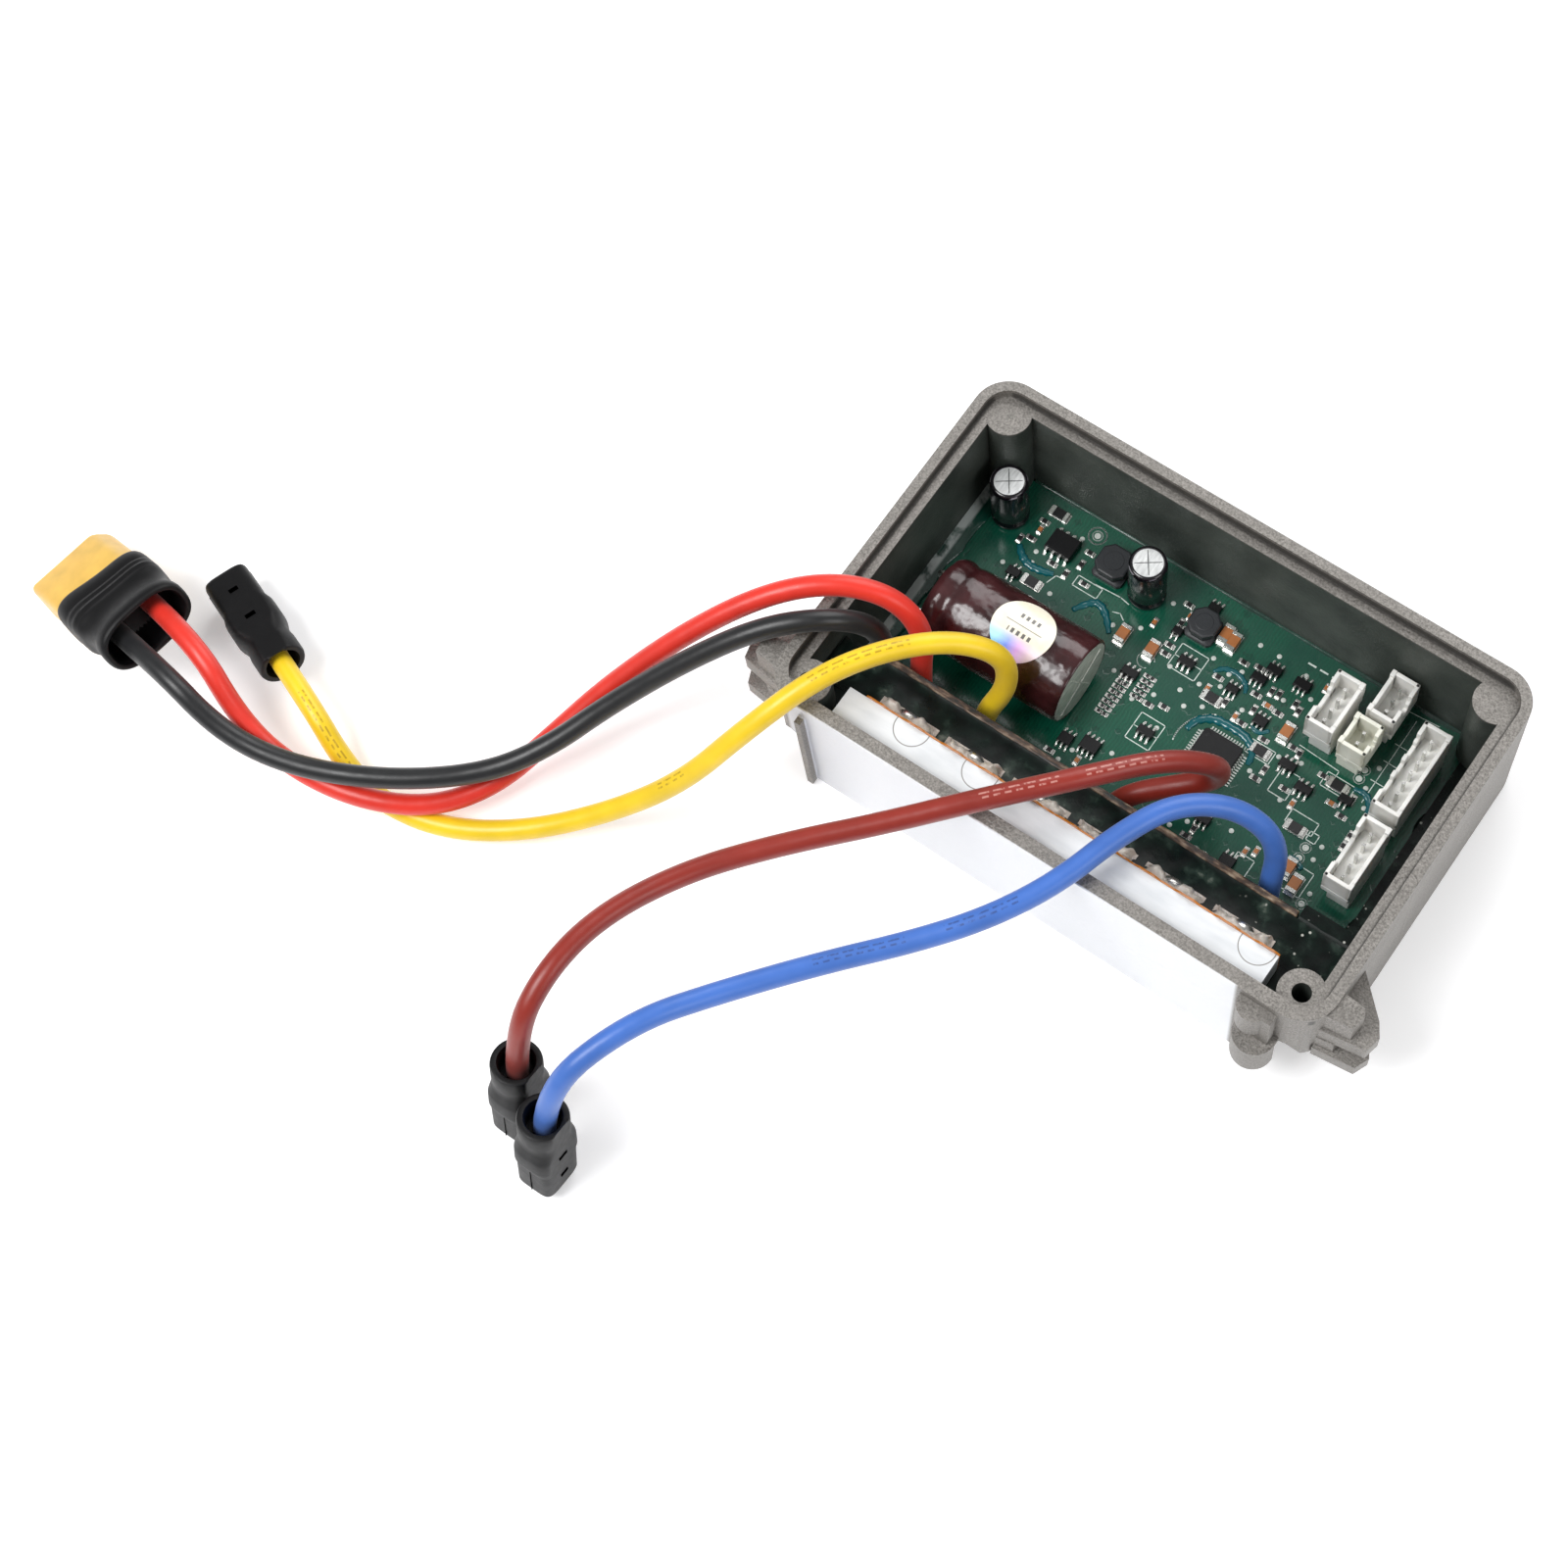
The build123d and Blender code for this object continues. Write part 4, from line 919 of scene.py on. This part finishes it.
def bulk_capacitor(sleeve, can):
    """The shrunk sleeve with its rolled groove, and the vented end of the can inside it."""
    profile = ((2.0, 0.25), (5.4, 0.0), (6.6, 0.25), (7.2, 0.9), (7.45, 1.7), (7.42, 2.6), (7.2, 3.2),
               (7.12, 3.7), (7.2, 4.2), (7.42, 4.8), (7.5, 5.8), (7.52, 12.0), (7.48, 18.0), (7.5, 24.0),
               (7.5, 25.6), (7.45, 26.5), (7.3, 26.9), (7.15, 27.0), (7.0, 26.9), (6.95, 26.5))
    bm = bmesh.new()
    rings = []
    for radius, height in profile:
        near_end = max(0.0, 1 - height / 7.0, (height - 20.5) / 6.7)
        ring = []
        for turn in full_turn(96):
            size = radius + wrinkle(turn, near_end)
            ring.append((size * cos(turn), size * sin(turn), height))
        rings.append(ring)
    add_loft(bm, rings, 0)
    place = lying_x(BULK_LEFT, BULK_Y, BULK_Z)
    smoothed(piece("bulk_capacitor_sleeve", bm, sleeve, ("bulk_capacitor",), 70.0, place))
    bm = bmesh.new()
    add_lathe(bm, ((7.1, 26.2), (7.0, 26.9), (6.7, 27.05), (0.05, 27.1)), segments=64)
    for turn in (25, 115, 205, 295):
        add_score(bm, turn, 6.2, 27.12)
    piece("bulk_capacitor_end", bm, can, place=place)


def add_score(bm, degrees, reach, z, width=0.32):
    """A pressed ridge from the middle of a can's end outwards."""
    turn = Matrix.Rotation(radians(degrees), 3, "Z")
    corners = ((0, -width / 2), (reach, -width / 3), (reach, width / 3), (0, width / 2))
    low = [turn @ Vector((x, y, z - 0.1)) for x, y in corners]
    high = [turn @ Vector((x * 0.98, y * 0.3, z + 0.04)) for x, y in corners]
    add_loft(bm, (low, high))


def small_capacitors(sleeve, can, score):
    """Sleeved cans with a waist near the foot and a cross pressed in the top."""
    for node, (x, y) in SMALL_CAPS.items():
        bm = bmesh.new()
        add_lathe(bm, ((2.9, 0.0), (3.15, 0.4), (3.15, 1.2), (2.85, 1.6), (2.85, 2.0), (3.15, 2.4),
                       (3.17, 7.0), (3.15, 11.0), (3.05, 11.7), (2.75, 12.0), (2.5, 12.0), (2.42, 11.85)),
                  segments=56)
        add_lathe(bm, ((2.6, 11.5), (2.5, 11.9), (2.2, 11.95), (0.05, 11.97)), segments=48, material=1)
        first = len(bm.faces)
        for turn in (35, 125, 215, 305):
            add_score(bm, turn, 2.2, 12.0, 0.3)
        bm.faces.ensure_lookup_table()
        for face in bm.faces[first:]:
            face.material_index = 2
        place = Matrix.Translation((x, y, BOARD_TOP))
        piece(node + "_turned", bm, (sleeve, can, score), (node,), 50.0, place)


def inductors(ferrite):
    """Octagonal ferrite cores with a narrow waist."""
    for node, (x, y, size) in INDUCTORS.items():
        bm = bmesh.new()
        half = size / 2
        rings = []
        waist = half * 0.86
        for z, reach, cut in ((0.0, half, 0.5), (0.7, half, 0.5), (0.9, waist, 1.1), (2.0, waist, 1.1),
                              (2.2, half, 1.3), (3.0, half, 1.3), (3.2, half - 0.25, 1.3)):
            cut = min(cut, reach * 0.55)
            corner = reach - cut
            rings.append([(x + dx, y + dy, BOARD_TOP + z) for dx, dy in (
                (-corner, -reach), (corner, -reach), (reach, -corner), (reach, corner),
                (corner, reach), (-corner, reach), (-reach, corner), (-reach, -corner))])
        add_loft(bm, rings)
        add_lathe(bm, ((half * 0.62, 3.2), (half * 0.58, 3.26), (0.05, 3.26)), (x, y, BOARD_TOP), 32)
        rounded(piece(node + "_core", bm, ferrite, (node,), 25.0), 0.12)


# ---- transistor bay ----
def screws(steel):
    """Domed screw heads against the transistor tabs."""
    bm = bmesh.new()
    for x in TRANSISTOR_X:
        place = Matrix.Translation((x, TAB_FRONT + 1.3, TAB_TOP - SCREW_DROP))
        place = place @ Matrix.Rotation(radians(-90), 4, "X")
        head = bmesh.new()
        add_lathe(head, ((1.4, -2.0), (1.4, 0.0), (2.3, 0.0), (2.4, 0.4), (2.2, 1.1), (1.6, 1.6), (0.9, 1.7),
                         (0.7, 1.0), (0.1, 0.9)), segments=36)
        bmesh.ops.transform(head, matrix=place, verts=head.verts)
        joined = bpy.data.meshes.new("head")
        head.to_mesh(joined)
        head.free()
        bm.from_mesh(joined)
        bpy.data.meshes.remove(joined)
    piece("transistor_screw_heads", bm, steel, ("transistor_screws",), 40.0)


def paste_height(centre):
    """Height of the paste over one tab: level by the film, ragged at its edges and thin at the screw."""
    def height(x, y):
        reach = 3.0 + 0.4 * sin(1.3 * x) + 0.12 * sin(4.1 * x + 1.0)
        reach -= 1.1 * exp(-((x - centre) / 1.5) ** 2)
        end = 4.7 + 0.25 * sin(3.0 * y) - abs(x - centre)
        inside = min(reach - (y - TAB_FRONT), end)
        return 20.2 + 2.4 * (1 - exp(-max(inside, 0.0) / 0.4)) + 0.04 * sin(3.0 * x + 2.0 * y)
    return height


def heat_paste(paste):
    """A slab of paste over each transistor's tab."""
    for number, x in enumerate(TRANSISTOR_X, 1):
        name = "heat_paste_" + str(number)
        wavy_surface(name, x - 5.2, x + 5.2, TAB_FRONT, -20.8, 19.0, paste_height(x), paste, (64, 24))


def film(amber):
    """The insulating film, with an uneven top edge."""
    bm = bmesh.new()
    rows = []
    for i in range(121):
        x = -35.4 + 73.8 * i / 120
        top = BAR_TOP + 0.25 + 0.22 * sin(0.9 * x) + 0.12 * sin(2.7 * x + 1)
        y0, y1 = BAR_BACK, TAB_FRONT
        rows.append([(x, y0, 6.5), (x, y1, 6.5), (x, y1, top), (x, y0, top + 0.05)])
    add_loft(bm, rows)
    piece("insulator_film_wavy", bm, amber, ("insulator_film",))


def wavy_surface(name, x0, x1, y0, y1, base, height, material, cells):
    """A grid of compound whose height at each point comes from a function, with a skirt down to its base."""
    bm = bmesh.new()
    columns, rows = cells
    grid = []
    for i in range(columns + 1):
        x = x0 + (x1 - x0) * i / columns
        across = [y0 + (y1 - y0) * j / rows for j in range(rows + 1)]
        grid.append([bm.verts.new((x, y, height(x, y))) for y in across])
    for i in range(columns):
        for j in range(rows):
            bm.faces.new((grid[i][j], grid[i + 1][j], grid[i + 1][j + 1], grid[i][j + 1]))
    rim = [grid[i][0] for i in range(columns + 1)] + [grid[columns][j] for j in range(1, rows + 1)]
    rim += [grid[i][rows] for i in range(columns - 1, -1, -1)] + [grid[0][j] for j in range(rows - 1, 0, -1)]
    foot = [bm.verts.new((v.co.x, v.co.y, base)) for v in rim]
    for i in range(len(rim)):
        j = (i + 1) % len(rim)
        bm.faces.new((rim[i], foot[i], foot[j], rim[j]))
    bm.faces.new(foot)
    piece(name, bm, material, smooth=50.0)


def creep(distance, height, reach):
    """How far compound climbs a wall at this distance from it."""
    return height * exp(-max(distance, 0.0) / reach)


def ripple(x, y):
    """Slow waves, from about -2 to 2, in a poured surface."""
    return (sin(0.55 * x + 0.9 * sin(0.31 * y)) + 0.7 * sin(0.93 * y + 0.35 * x)
            + 0.5 * sin(1.7 * x - 1.1 * y))


def bay_height(x, y):
    """Compound in the bay: it climbs the power board, the ends and the row of tabs."""
    walls = creep(BAY_BACK - y, 0.25, 0.9) + creep(BAY_SIDE - 0.2 - abs(x), 0.6, 1.0)
    fade = min(max((BAR_HALF - abs(x)) / 4.0, 0.0), 1.0)
    tabs = creep(y - TAB_FRONT, 1.1, 2.6) * fade * fade * (3 - 2 * fade)
    return BAY_TOP + 0.1 + 0.02 * ripple(x, y) + walls + tabs


def right_end_height(x, y):
    """Compound that slopes from the bay's right end down to the board."""
    return BAY_TOP + 0.1 + 0.02 * ripple(x, y) - 1.6 * max(0.0, (y + 16.0) / 2.8) ** 2


def edge_height(x, y):
    """Compound along the right wall: a wavy rounded edge that climbs to the wall."""
    line = 42.5 + 0.45 * sin(0.32 * y + 1.0) + 0.25 * sin(0.9 * y)
    inward = x - line
    if inward <= 0:
        return BOARD_TOP - 0.3
    return BOARD_TOP + 0.55 * (1 - exp(-inward / 0.35)) + creep(45.9 - x, 0.9, 0.8)


def left_height(x, y):
    """Compound along the left wall, thinner than on the right."""
    line = 43.2 + 0.3 * sin(0.28 * y) + 0.2 * sin(0.8 * y + 2)
    inward = -x - line
    if inward <= 0:
        return BOARD_TOP - 0.3
    return BOARD_TOP + 0.25 * (1 - exp(-inward / 0.3)) + creep(45.9 + x, 1.3, 1.0)


def back_height(x, y):
    """Compound along the back wall, level with the board."""
    return BOARD_TOP - 0.1 + creep(28.7 - y, 0.25, 0.5) + 0.02 * ripple(x, y)


def compound(dark, clear):
    """The poured compound's surface: in the bay, past its right end and along the walls."""
    for name, x0, x1, y0, y1, cells in (
        ("bay_compound_left", -BAY_SIDE, -BAR_HALF, -23.4, BAY_BACK, (30, 30)),
        ("bay_compound_middle", -BAR_HALF, BAR_HALF, TAB_FRONT, BAY_BACK, (300, 34)),
        ("bay_compound_right", BAR_HALF, BAY_SIDE, -23.4, -16.0, (30, 30)),
    ):
        wavy_surface(name, x0, x1, y0, y1, BAY_BASE, bay_height, dark, cells)
    for name, x0, x1, y0, y1, height, finish, cells in (
        ("bay_compound_corner", 36.8, BAY_SIDE, -16.0, -13.1, right_end_height, dark, (30, 14)),
        ("edge_compound_right", 41.6, 45.95, -13.0, 23.4, edge_height, dark, (24, 160)),
        ("edge_compound_left", -45.95, -42.4, -13.0, 23.4, left_height, clear, (24, 160)),
        ("edge_compound_back", -40.2, 40.2, 27.2, 28.78, back_height, clear, (160, 12)),
    ):
        wavy_surface(name, x0, x1, y0, y1, COMPOUND_BASE, height, finish, cells)


# ---- headers ----
def header(name, x, y, ways, notch_side, plastic):
    """A shrouded header with raised corners, a cut-away side and small steps in that side."""
    length = PIN_PITCH * (ways - 1) + HEADER_ENDS
    half_w, half_l, wall = HEADER_WIDTH / 2, length / 2, HEADER_WALL
    top = BOARD_TOP + HEADER_HEIGHT
    socket = top - 5.0
    bm = bmesh.new()

    def wall_box(x0, x1, y0, y1, z0, z1):
        sides = sorted((x + notch_side * x0, x + notch_side * x1))
        add_box(bm, *sides, y + y0, y + y1, z0, z1)

    wall_box(-half_w, half_w - 0.9, -half_l + 0.8, half_l - 0.8, BOARD_TOP, socket - 1.5)
    wall_box(-half_w, half_w, -half_l, half_l, socket - 1.5, socket)
    wall_box(-half_w, -half_w + wall, -half_l, half_l, socket, top - 0.5)
    for end in (-1, 1):
        ends = sorted((end * half_l, end * (half_l - wall)))
        wall_box(-half_w, half_w, *ends, socket, top)
        nub = sorted((end * half_l, end * (half_l - 1.2)))
        wall_box(-half_w - 0.12, -half_w + wall, *nub, socket + 1.0, top + 0.15)
        block = sorted((end * half_l, end * max(half_l - 2.6, 0.9)))
        wall_box(half_w - wall, half_w, *block, socket, top)
        step = sorted((end * max(half_l - 2.6, 0.9), end * max(half_l - 3.4, 0.6)))
        wall_box(half_w - wall, half_w, *step, socket, top - 1.6)
    wall_box(half_w - wall, half_w, -half_l + 1.5, half_l - 1.5, socket, top - 3.2)
    if ways > 5:
        for centre in (-1.6, 1.6):
            wall_box(half_w - wall, half_w, centre - 0.6, centre + 0.6, socket, top - 1.5)
    rounded(piece(name + "_shroud", bm, plastic, (name,)), 0.14)


# ---- plugs ----
def plug_frame(tip, back):
    """A frame at the plug's tip whose Z runs to the wire end and whose X is level."""
    along = (Vector(back) - Vector(tip)).normalized()
    level = Vector((along.y, -along.x, 0)).normalized()
    across = along.cross(level)
    turned = Matrix((level, across, along)).transposed().to_4x4()
    return Matrix.Translation(tip) @ turned


def oval(half_x, half_y, z, power, count, lift=None):
    """A superellipse: power 2 is an ellipse, and more is squarer."""
    ring = []
    for turn in full_turn(count):
        c, s = cos(turn), sin(turn)
        x = half_x * copysign(abs(c) ** (2 / power), c)
        y = half_y * copysign(abs(s) ** (2 / power), s)
        ring.append((x, y, z + (lift(x) if lift else 0.0)))
    return ring


def battery_body(amber):
    """The two-pole plug's body with its outer corners well rounded and its sockets left crisp."""
    bm = clean_copy("battery_plug_body")
    inward = plug_frame(BATTERY_TIP, BATTERY_BACK).inverted()
    corners = []
    for edge in bm.edges:
        ends = [inward @ vertex.co for vertex in edge.verts]
        outer = all(abs(end.x) > 6.3 or abs(end.y) > 2.8 for end in ends)
        if outer and edge.calc_face_angle(0.0) > 0.5:
            corners.append(edge)
    bmesh.ops.bevel(bm, geom=corners, offset=1.1, segments=4, profile=0.5, affect="EDGES")
    piece("battery_plug_body_rounded", bm, amber, ("battery_plug_body",))


def battery_sheath(rubber):
    """The oval cover of the two-pole plug: a wavy front edge, curved ribs and a thick back rim."""
    end = BATTERY_LENGTH
    start = end - SHEATH_LENGTH
    sections = ((0.03, 6.6, 3.2, 4.0), (0.0, 7.9, 4.4, 4.0), (0.0, 8.4, 4.9, 4.0), (0.03, 8.65, 5.15, 4.0),
                (0.2, 8.7, 5.2, 4.0), (0.24, 8.6, 4.75, 4.0), (0.29, 8.7, 5.2, 4.0), (0.34, 8.6, 4.75, 4.0),
                (0.39, 8.7, 5.2, 4.0), (0.44, 8.55, 4.7, 4.0), (0.49, 8.5, 5.0, 3.6), (0.55, 8.1, 4.65, 3.0),
                (0.7, 7.8, 4.5, 2.7), (0.8, 8.1, 4.8, 2.7), (0.86, 8.4, 5.1, 2.7), (0.96, 8.4, 5.1, 2.7),
                (1.0, 8.1, 4.8, 2.7))
    inner = ((1.0, 7.3, 4.0, 2.7), (0.93, 7.1, 3.8, 2.7), (0.8, 6.9, 3.7, 2.7), (0.55, 6.9, 3.7, 2.7))
    rings = []
    for share, half_x, half_y, power in (*sections, *inner):
        amount = 1.1 * (1 - share) ** 1.5

        def lift(x, amount=amount):
            return amount * sin(-x / 5.6) + 0.3 * amount * cos(x / 2.2)

        rings.append(oval(half_x, half_y, start + share * SHEATH_LENGTH, power, 72, lift))
    bm = bmesh.new()
    add_loft(bm, rings)
    place = plug_frame(BATTERY_TIP, BATTERY_BACK)
    made = piece("battery_sheath_cover", bm, rubber, ("battery_plug_sheath",), 60.0, place)
    smoothed(made)
    return made


def phase_cover(name, rubber, dark):
    """A single-pole plug's cover: squared tip, thick middle with small windows in painted shade, and a round
    back ring.
    """
    sections = ((0.0, 3.3, 2.9, 5.0), (0.35, 3.75, 3.25, 5.0), (0.8, 3.9, 3.35, 5.0), (7.2, 3.95, 3.4, 5.0),
                (7.6, 4.0, 3.45, 4.5), (9.0, 4.45, 3.75, 3.6), (9.6, 4.5, 3.8, 3.4), (12.4, 4.5, 3.8, 3.2),
                (13.0, 4.4, 3.75, 3.0), (14.6, 3.95, 3.6, 2.6), (15.4, 3.85, 3.6, 2.4),
                (16.4, 3.95, 3.8, 2.1), (17.0, 4.05, 4.0, 2.0), (20.0, 4.05, 4.0, 2.0),
                (20.45, 3.9, 3.85, 2.0), (20.6, 3.6, 3.55, 2.0))
    inner = ((20.5, 3.0, 3.0, 2.0), (19.8, 2.75, 2.75, 2.0), (16.0, 2.7, 2.7, 2.0))
    bm = bmesh.new()
    rings = []
    for z, half_x, half_y, power in (*sections, *inner):
        ring = oval(half_x, half_y, z, power, 64)
        rings.append([(x, min(y, 3.35), h) for x, y, h in ring])
    add_loft(bm, rings)
    # near-black boxes for the small windows: painted shade in the openings
    for z, half in ((10.9, 0.9), (4.6, 0.8)):
        for side in (-1, 1):
            add_box(bm, -half, half, *sorted((side * 3.3, side * 3.42)), z - 0.4, z + 0.4, 1)
    for x in (3.9, -4.0):
        add_box(bm, x, x + 0.1, -0.06, 0.06, 0.6, 7.2, 1)
    place = plug_frame(PHASE_TIP[name], PHASE_BACK[name])
    place = place @ Matrix.Rotation(radians(PHASE_TURN[name]), 4, "Z")
    replaced = ("phase_plug_" + name,)
    return piece("phase_cover_" + name, bm, (rubber, dark), replaced, 40.0, place)


# ---- leads ----
def lead_line(colour_name):
    """Points along the lead's smooth centre line, read from its spline."""
    curve = bpy.data.curves.new("route", "CURVE")
    curve.dimensions = "3D"
    curve.resolution_u = 8
    spline = curve.splines.new("NURBS")
    route = LEAD_ROUTES[colour_name]
    spline.points.add(len(route) - 1)
    for point, place in zip(spline.points, route):
        point.co = (*place, 1.0)
    spline.order_u = 3
    spline.use_endpoint_u = True
    holder = bpy.data.objects.new("route", curve)
    line = bpy.data.meshes.new_from_object(holder)
    points = [vertex.co.copy() for vertex in line.vertices]
    bpy.data.objects.remove(holder)
    return points


def tube_mesh(name, points, radius, sides=28):
    """A round tube in metres whose UVs are the distances along and around it."""
    bm = bmesh.new()
    layer = bm.loops.layers.uv.new("UVMap")
    up = Vector((0, -1, 0))
    rings, distances, run = [], [], 0.0
    for i, point in enumerate(points):
        ahead = points[min(i + 1, len(points) - 1)]
        behind = points[max(i - 1, 0)]
        along = (ahead - behind).normalized()
        level = Vector((0, 0, 1)) - along * along.z
        if level.length > 0.35:
            up = up.lerp(level.normalized(), 0.35)
        up = (up - along * up.dot(along)).normalized()
        side = along.cross(up)
        turns = [turn - pi / 2 for turn in full_turn(sides)]
        rings.append([bm.verts.new(point + (side * cos(t) + up * sin(t)) * radius) for t in turns])
        if i:
            run += (point - points[i - 1]).length
        distances.append(run)
    around = 2 * pi * radius / sides
    for i in range(len(rings) - 1):
        for k in range(sides):
            j = (k + 1) % sides
            face = bm.faces.new((rings[i][k], rings[i][j], rings[i + 1][j], rings[i + 1][k]))
            spots = ((i, k), (i, k + 1), (i + 1, k + 1), (i + 1, k))
            for loop, (row, column) in zip(face.loops, spots):
                loop[layer].uv = (distances[row], column * around)
    bm.faces.new(rings[0])
    bm.faces.new(rings[-1][::-1])
    bmesh.ops.recalc_face_normals(bm, faces=bm.faces)
    mesh = bpy.data.meshes.new(name)
    bm.to_mesh(mesh)
    bm.free()
    return mesh


def leads(plugs):
    """The five jackets as tubes, each running to the plug at its far end."""
    yellow_marks = ((38.0, 54.0), (80.0, 86.0), (146.0, 160.0))
    brown_marks = ((38.0, 50.0), (54.0, 66.0))
    blue_marks = ((64.0, 76.0), (82.0, 96.0))
    finishes = {
        "red": silicone("silicone_red", colour(226, 52, 38)),
        "black": silicone("silicone_black", colour(28, 29, 31)),
        "yellow": silicone("silicone_yellow", colour(240, 202, 30), colour(120, 78, 8), yellow_marks),
        "brown": silicone("silicone_brown", colour(140, 41, 29), colour(214, 160, 150), brown_marks),
        "blue": silicone("silicone_blue", colour(66, 110, 192), colour(34, 44, 84), blue_marks),
    }
    for name, finish in finishes.items():
        points = lead_line(name)
        jacket = tube_mesh("jacket_" + name, points, LEAD_RADIUS * MM)
        lead = show("jacket_" + name, jacket, finish, ("lead_" + name,), 60.0)
        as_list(plugs[name])


# ---- room ----
def studio():
    """A plain pale floor under three soft lights and a white sky."""
    bpy.ops.mesh.primitive_plane_add(size=3.0)
    floor = bpy.context.object
    floor.name = "floor"
    pale = Finish("floor", 0.7, Emission_Color=(1.0, 1.0, 1.0, 1.0), Emission_Strength=0.3)
    pale.paint((0.86, 0.86, 0.87, 1.0))
    floor.data.materials.append(pale.material)
    world = bpy.data.worlds.new("studio")
    bpy.context.scene.world = world
    world.use_nodes = True
    sky = world.node_tree.nodes["Background"]
    sky.inputs["Color"].default_value = (1.0, 1.0, 1.0, 1.0)
    sky.inputs["Strength"].default_value = 0.36
    soft_light("key", (-0.25, -0.35, 0.65), 0.35, 4.6)
    soft_light("back", (-0.1, 0.5, 0.5), 0.5, 2.6)
    soft_light("right", (0.5, -0.05, 0.4), 0.3, 1.0)


def soft_light(name, place, size, watts):
    """A square light, aimed at the middle of the object."""
    light = bpy.data.lights.new(name, "AREA")
    light.size = size
    light.energy = watts
    holder = bpy.data.objects.new(name, light)
    holder.location = place
    aim = Vector((-0.03, -0.03, 0.0)) - Vector(place)
    holder.rotation_euler = aim.to_track_quat("-Z", "Y").to_euler()
    bpy.context.collection.objects.link(holder)


def camera():
    """Looks down on the object from its front right."""
    lens = bpy.data.cameras.new("camera")
    lens.lens = 69.82
    lens.sensor_width = 36.0
    lens.shift_x = -0.034
    lens.shift_y = -0.0657
    lens.clip_start = 0.01
    lens.clip_end = 10.0
    holder = bpy.data.objects.new("camera", lens)
    holder.location = (0.08849, -0.15121, 0.4547)
    holder.rotation_euler = [radians(v) for v in (22.498, 4.258, 35.382)]
    bpy.context.collection.objects.link(holder)
    bpy.context.scene.camera = holder
    bpy.context.scene.view_settings.view_transform = "Standard"


camera()
studio()

black_mould = simple_plastic("chip_black", colour(15, 15, 18), 0.4, 0.2, Specular_IOR_Level=0.35)
black_rubber = simple_plastic("plug_black", colour(14, 14, 16), 0.48, 0.22, 0.03, Specular_IOR_Level=0.28)
# near black: the gaps' own colour, and painted shade for the covers' windows
gap_and_window_shade = simple_plastic("plug_gap_and_window_shade", colour(4, 4, 4), 0.9, Specular_IOR_Level=0.0)
tin = metal("tinned_wire", colour(222, 222, 218), 0.25)
solder = simple_plastic("pad_solder", colour(206, 212, 206), 0.3)
dark_compound = potting_black()
clear_compound = edge_compound()

softened("housing", die_cast_aluminium(), 0.35)
repaint(["main_board"], solder_mask())
repaint(["bay_potting", "board_potting"], dark_compound)
softened("power_board", laminate_edge(), 0.25)
softened("heat_bar", heat_bar_metal(), 0.2)
repaint(["power_transistor_" + str(i) for i in range(1, 7)], tab_metal())
screws(metal("screw_steel", colour(206, 204, 200), 0.28))
heat_paste(milky_paste())
film(simple_plastic("amber_film", colour(176, 104, 26), 0.25, 0.5))
compound(dark_compound, clear_compound)

can = can_metal("can_end", colour(158, 164, 154), colour(214, 219, 208))
bulk_capacitor(sleeve_film(), can)
repaint(["capacitor_sticker"], sticker_paper())
repaint(["bulk_capacitor_leads", "header_pins"], tin)
repaint(["microcontroller_leads"], solder)
small_capacitors(small_can_sleeve(), can_metal("small_can_top", colour(196, 198, 198), colour(238, 240, 240)),
                 can_metal("score_line", colour(84, 86, 86), colour(130, 132, 132)))
inductors(simple_plastic("ferrite", colour(50, 52, 55), 0.45, 0.3, 0.04))
softened("microcontroller", black_mould, 0.12)
microcontroller_marks(black_mould)
packages(black_mould, tin)
chip_parts(tin, simple_plastic("resistor_black", colour(26, 26, 28), 0.35),
           simple_plastic("ceramic_brown", colour(176, 110, 62), 0.4))
silkscreen(printed_white())
solder_pads(solder)
adhesive(simple_plastic("adhesive_teal", colour(14, 92, 98), 0.2, 1.0, 0.05, Coat_Weight=0.4))
header_plastic = simple_plastic("header_white", colour(246, 244, 239), 0.36, 0.4, Subsurface_Weight=0.05)
header_cream = simple_plastic("header_cream", colour(244, 243, 228), 0.36, 0.4, Subsurface_Weight=0.05)
for name, x, y, ways, notch_side in HEADERS:
    header(name, x, y, ways, notch_side, header_cream if name == "header_3" else header_plastic)

battery_body(simple_plastic("plug_amber", colour(232, 184, 88), 0.38, 0.3, 0.03, Subsurface_Weight=0.05))
brass = metal("gold_contact", colour(214, 170, 92), 0.25)
repaint(["battery_plug_contacts"] + ["phase_contact_" + name for name in PHASE_TIP], brass)
sheath = battery_sheath(black_rubber)
covers = {name: phase_cover(name, black_rubber, gap_and_window_shade) for name in PHASE_TIP}
battery_pieces = ["battery_plug_body_rounded", "battery_plug_contacts", sheath]
leads({"red": battery_pieces, "black": battery_pieces,
       **{name: [covers[name], "phase_contact_" + name] for name in PHASE_TIP}})
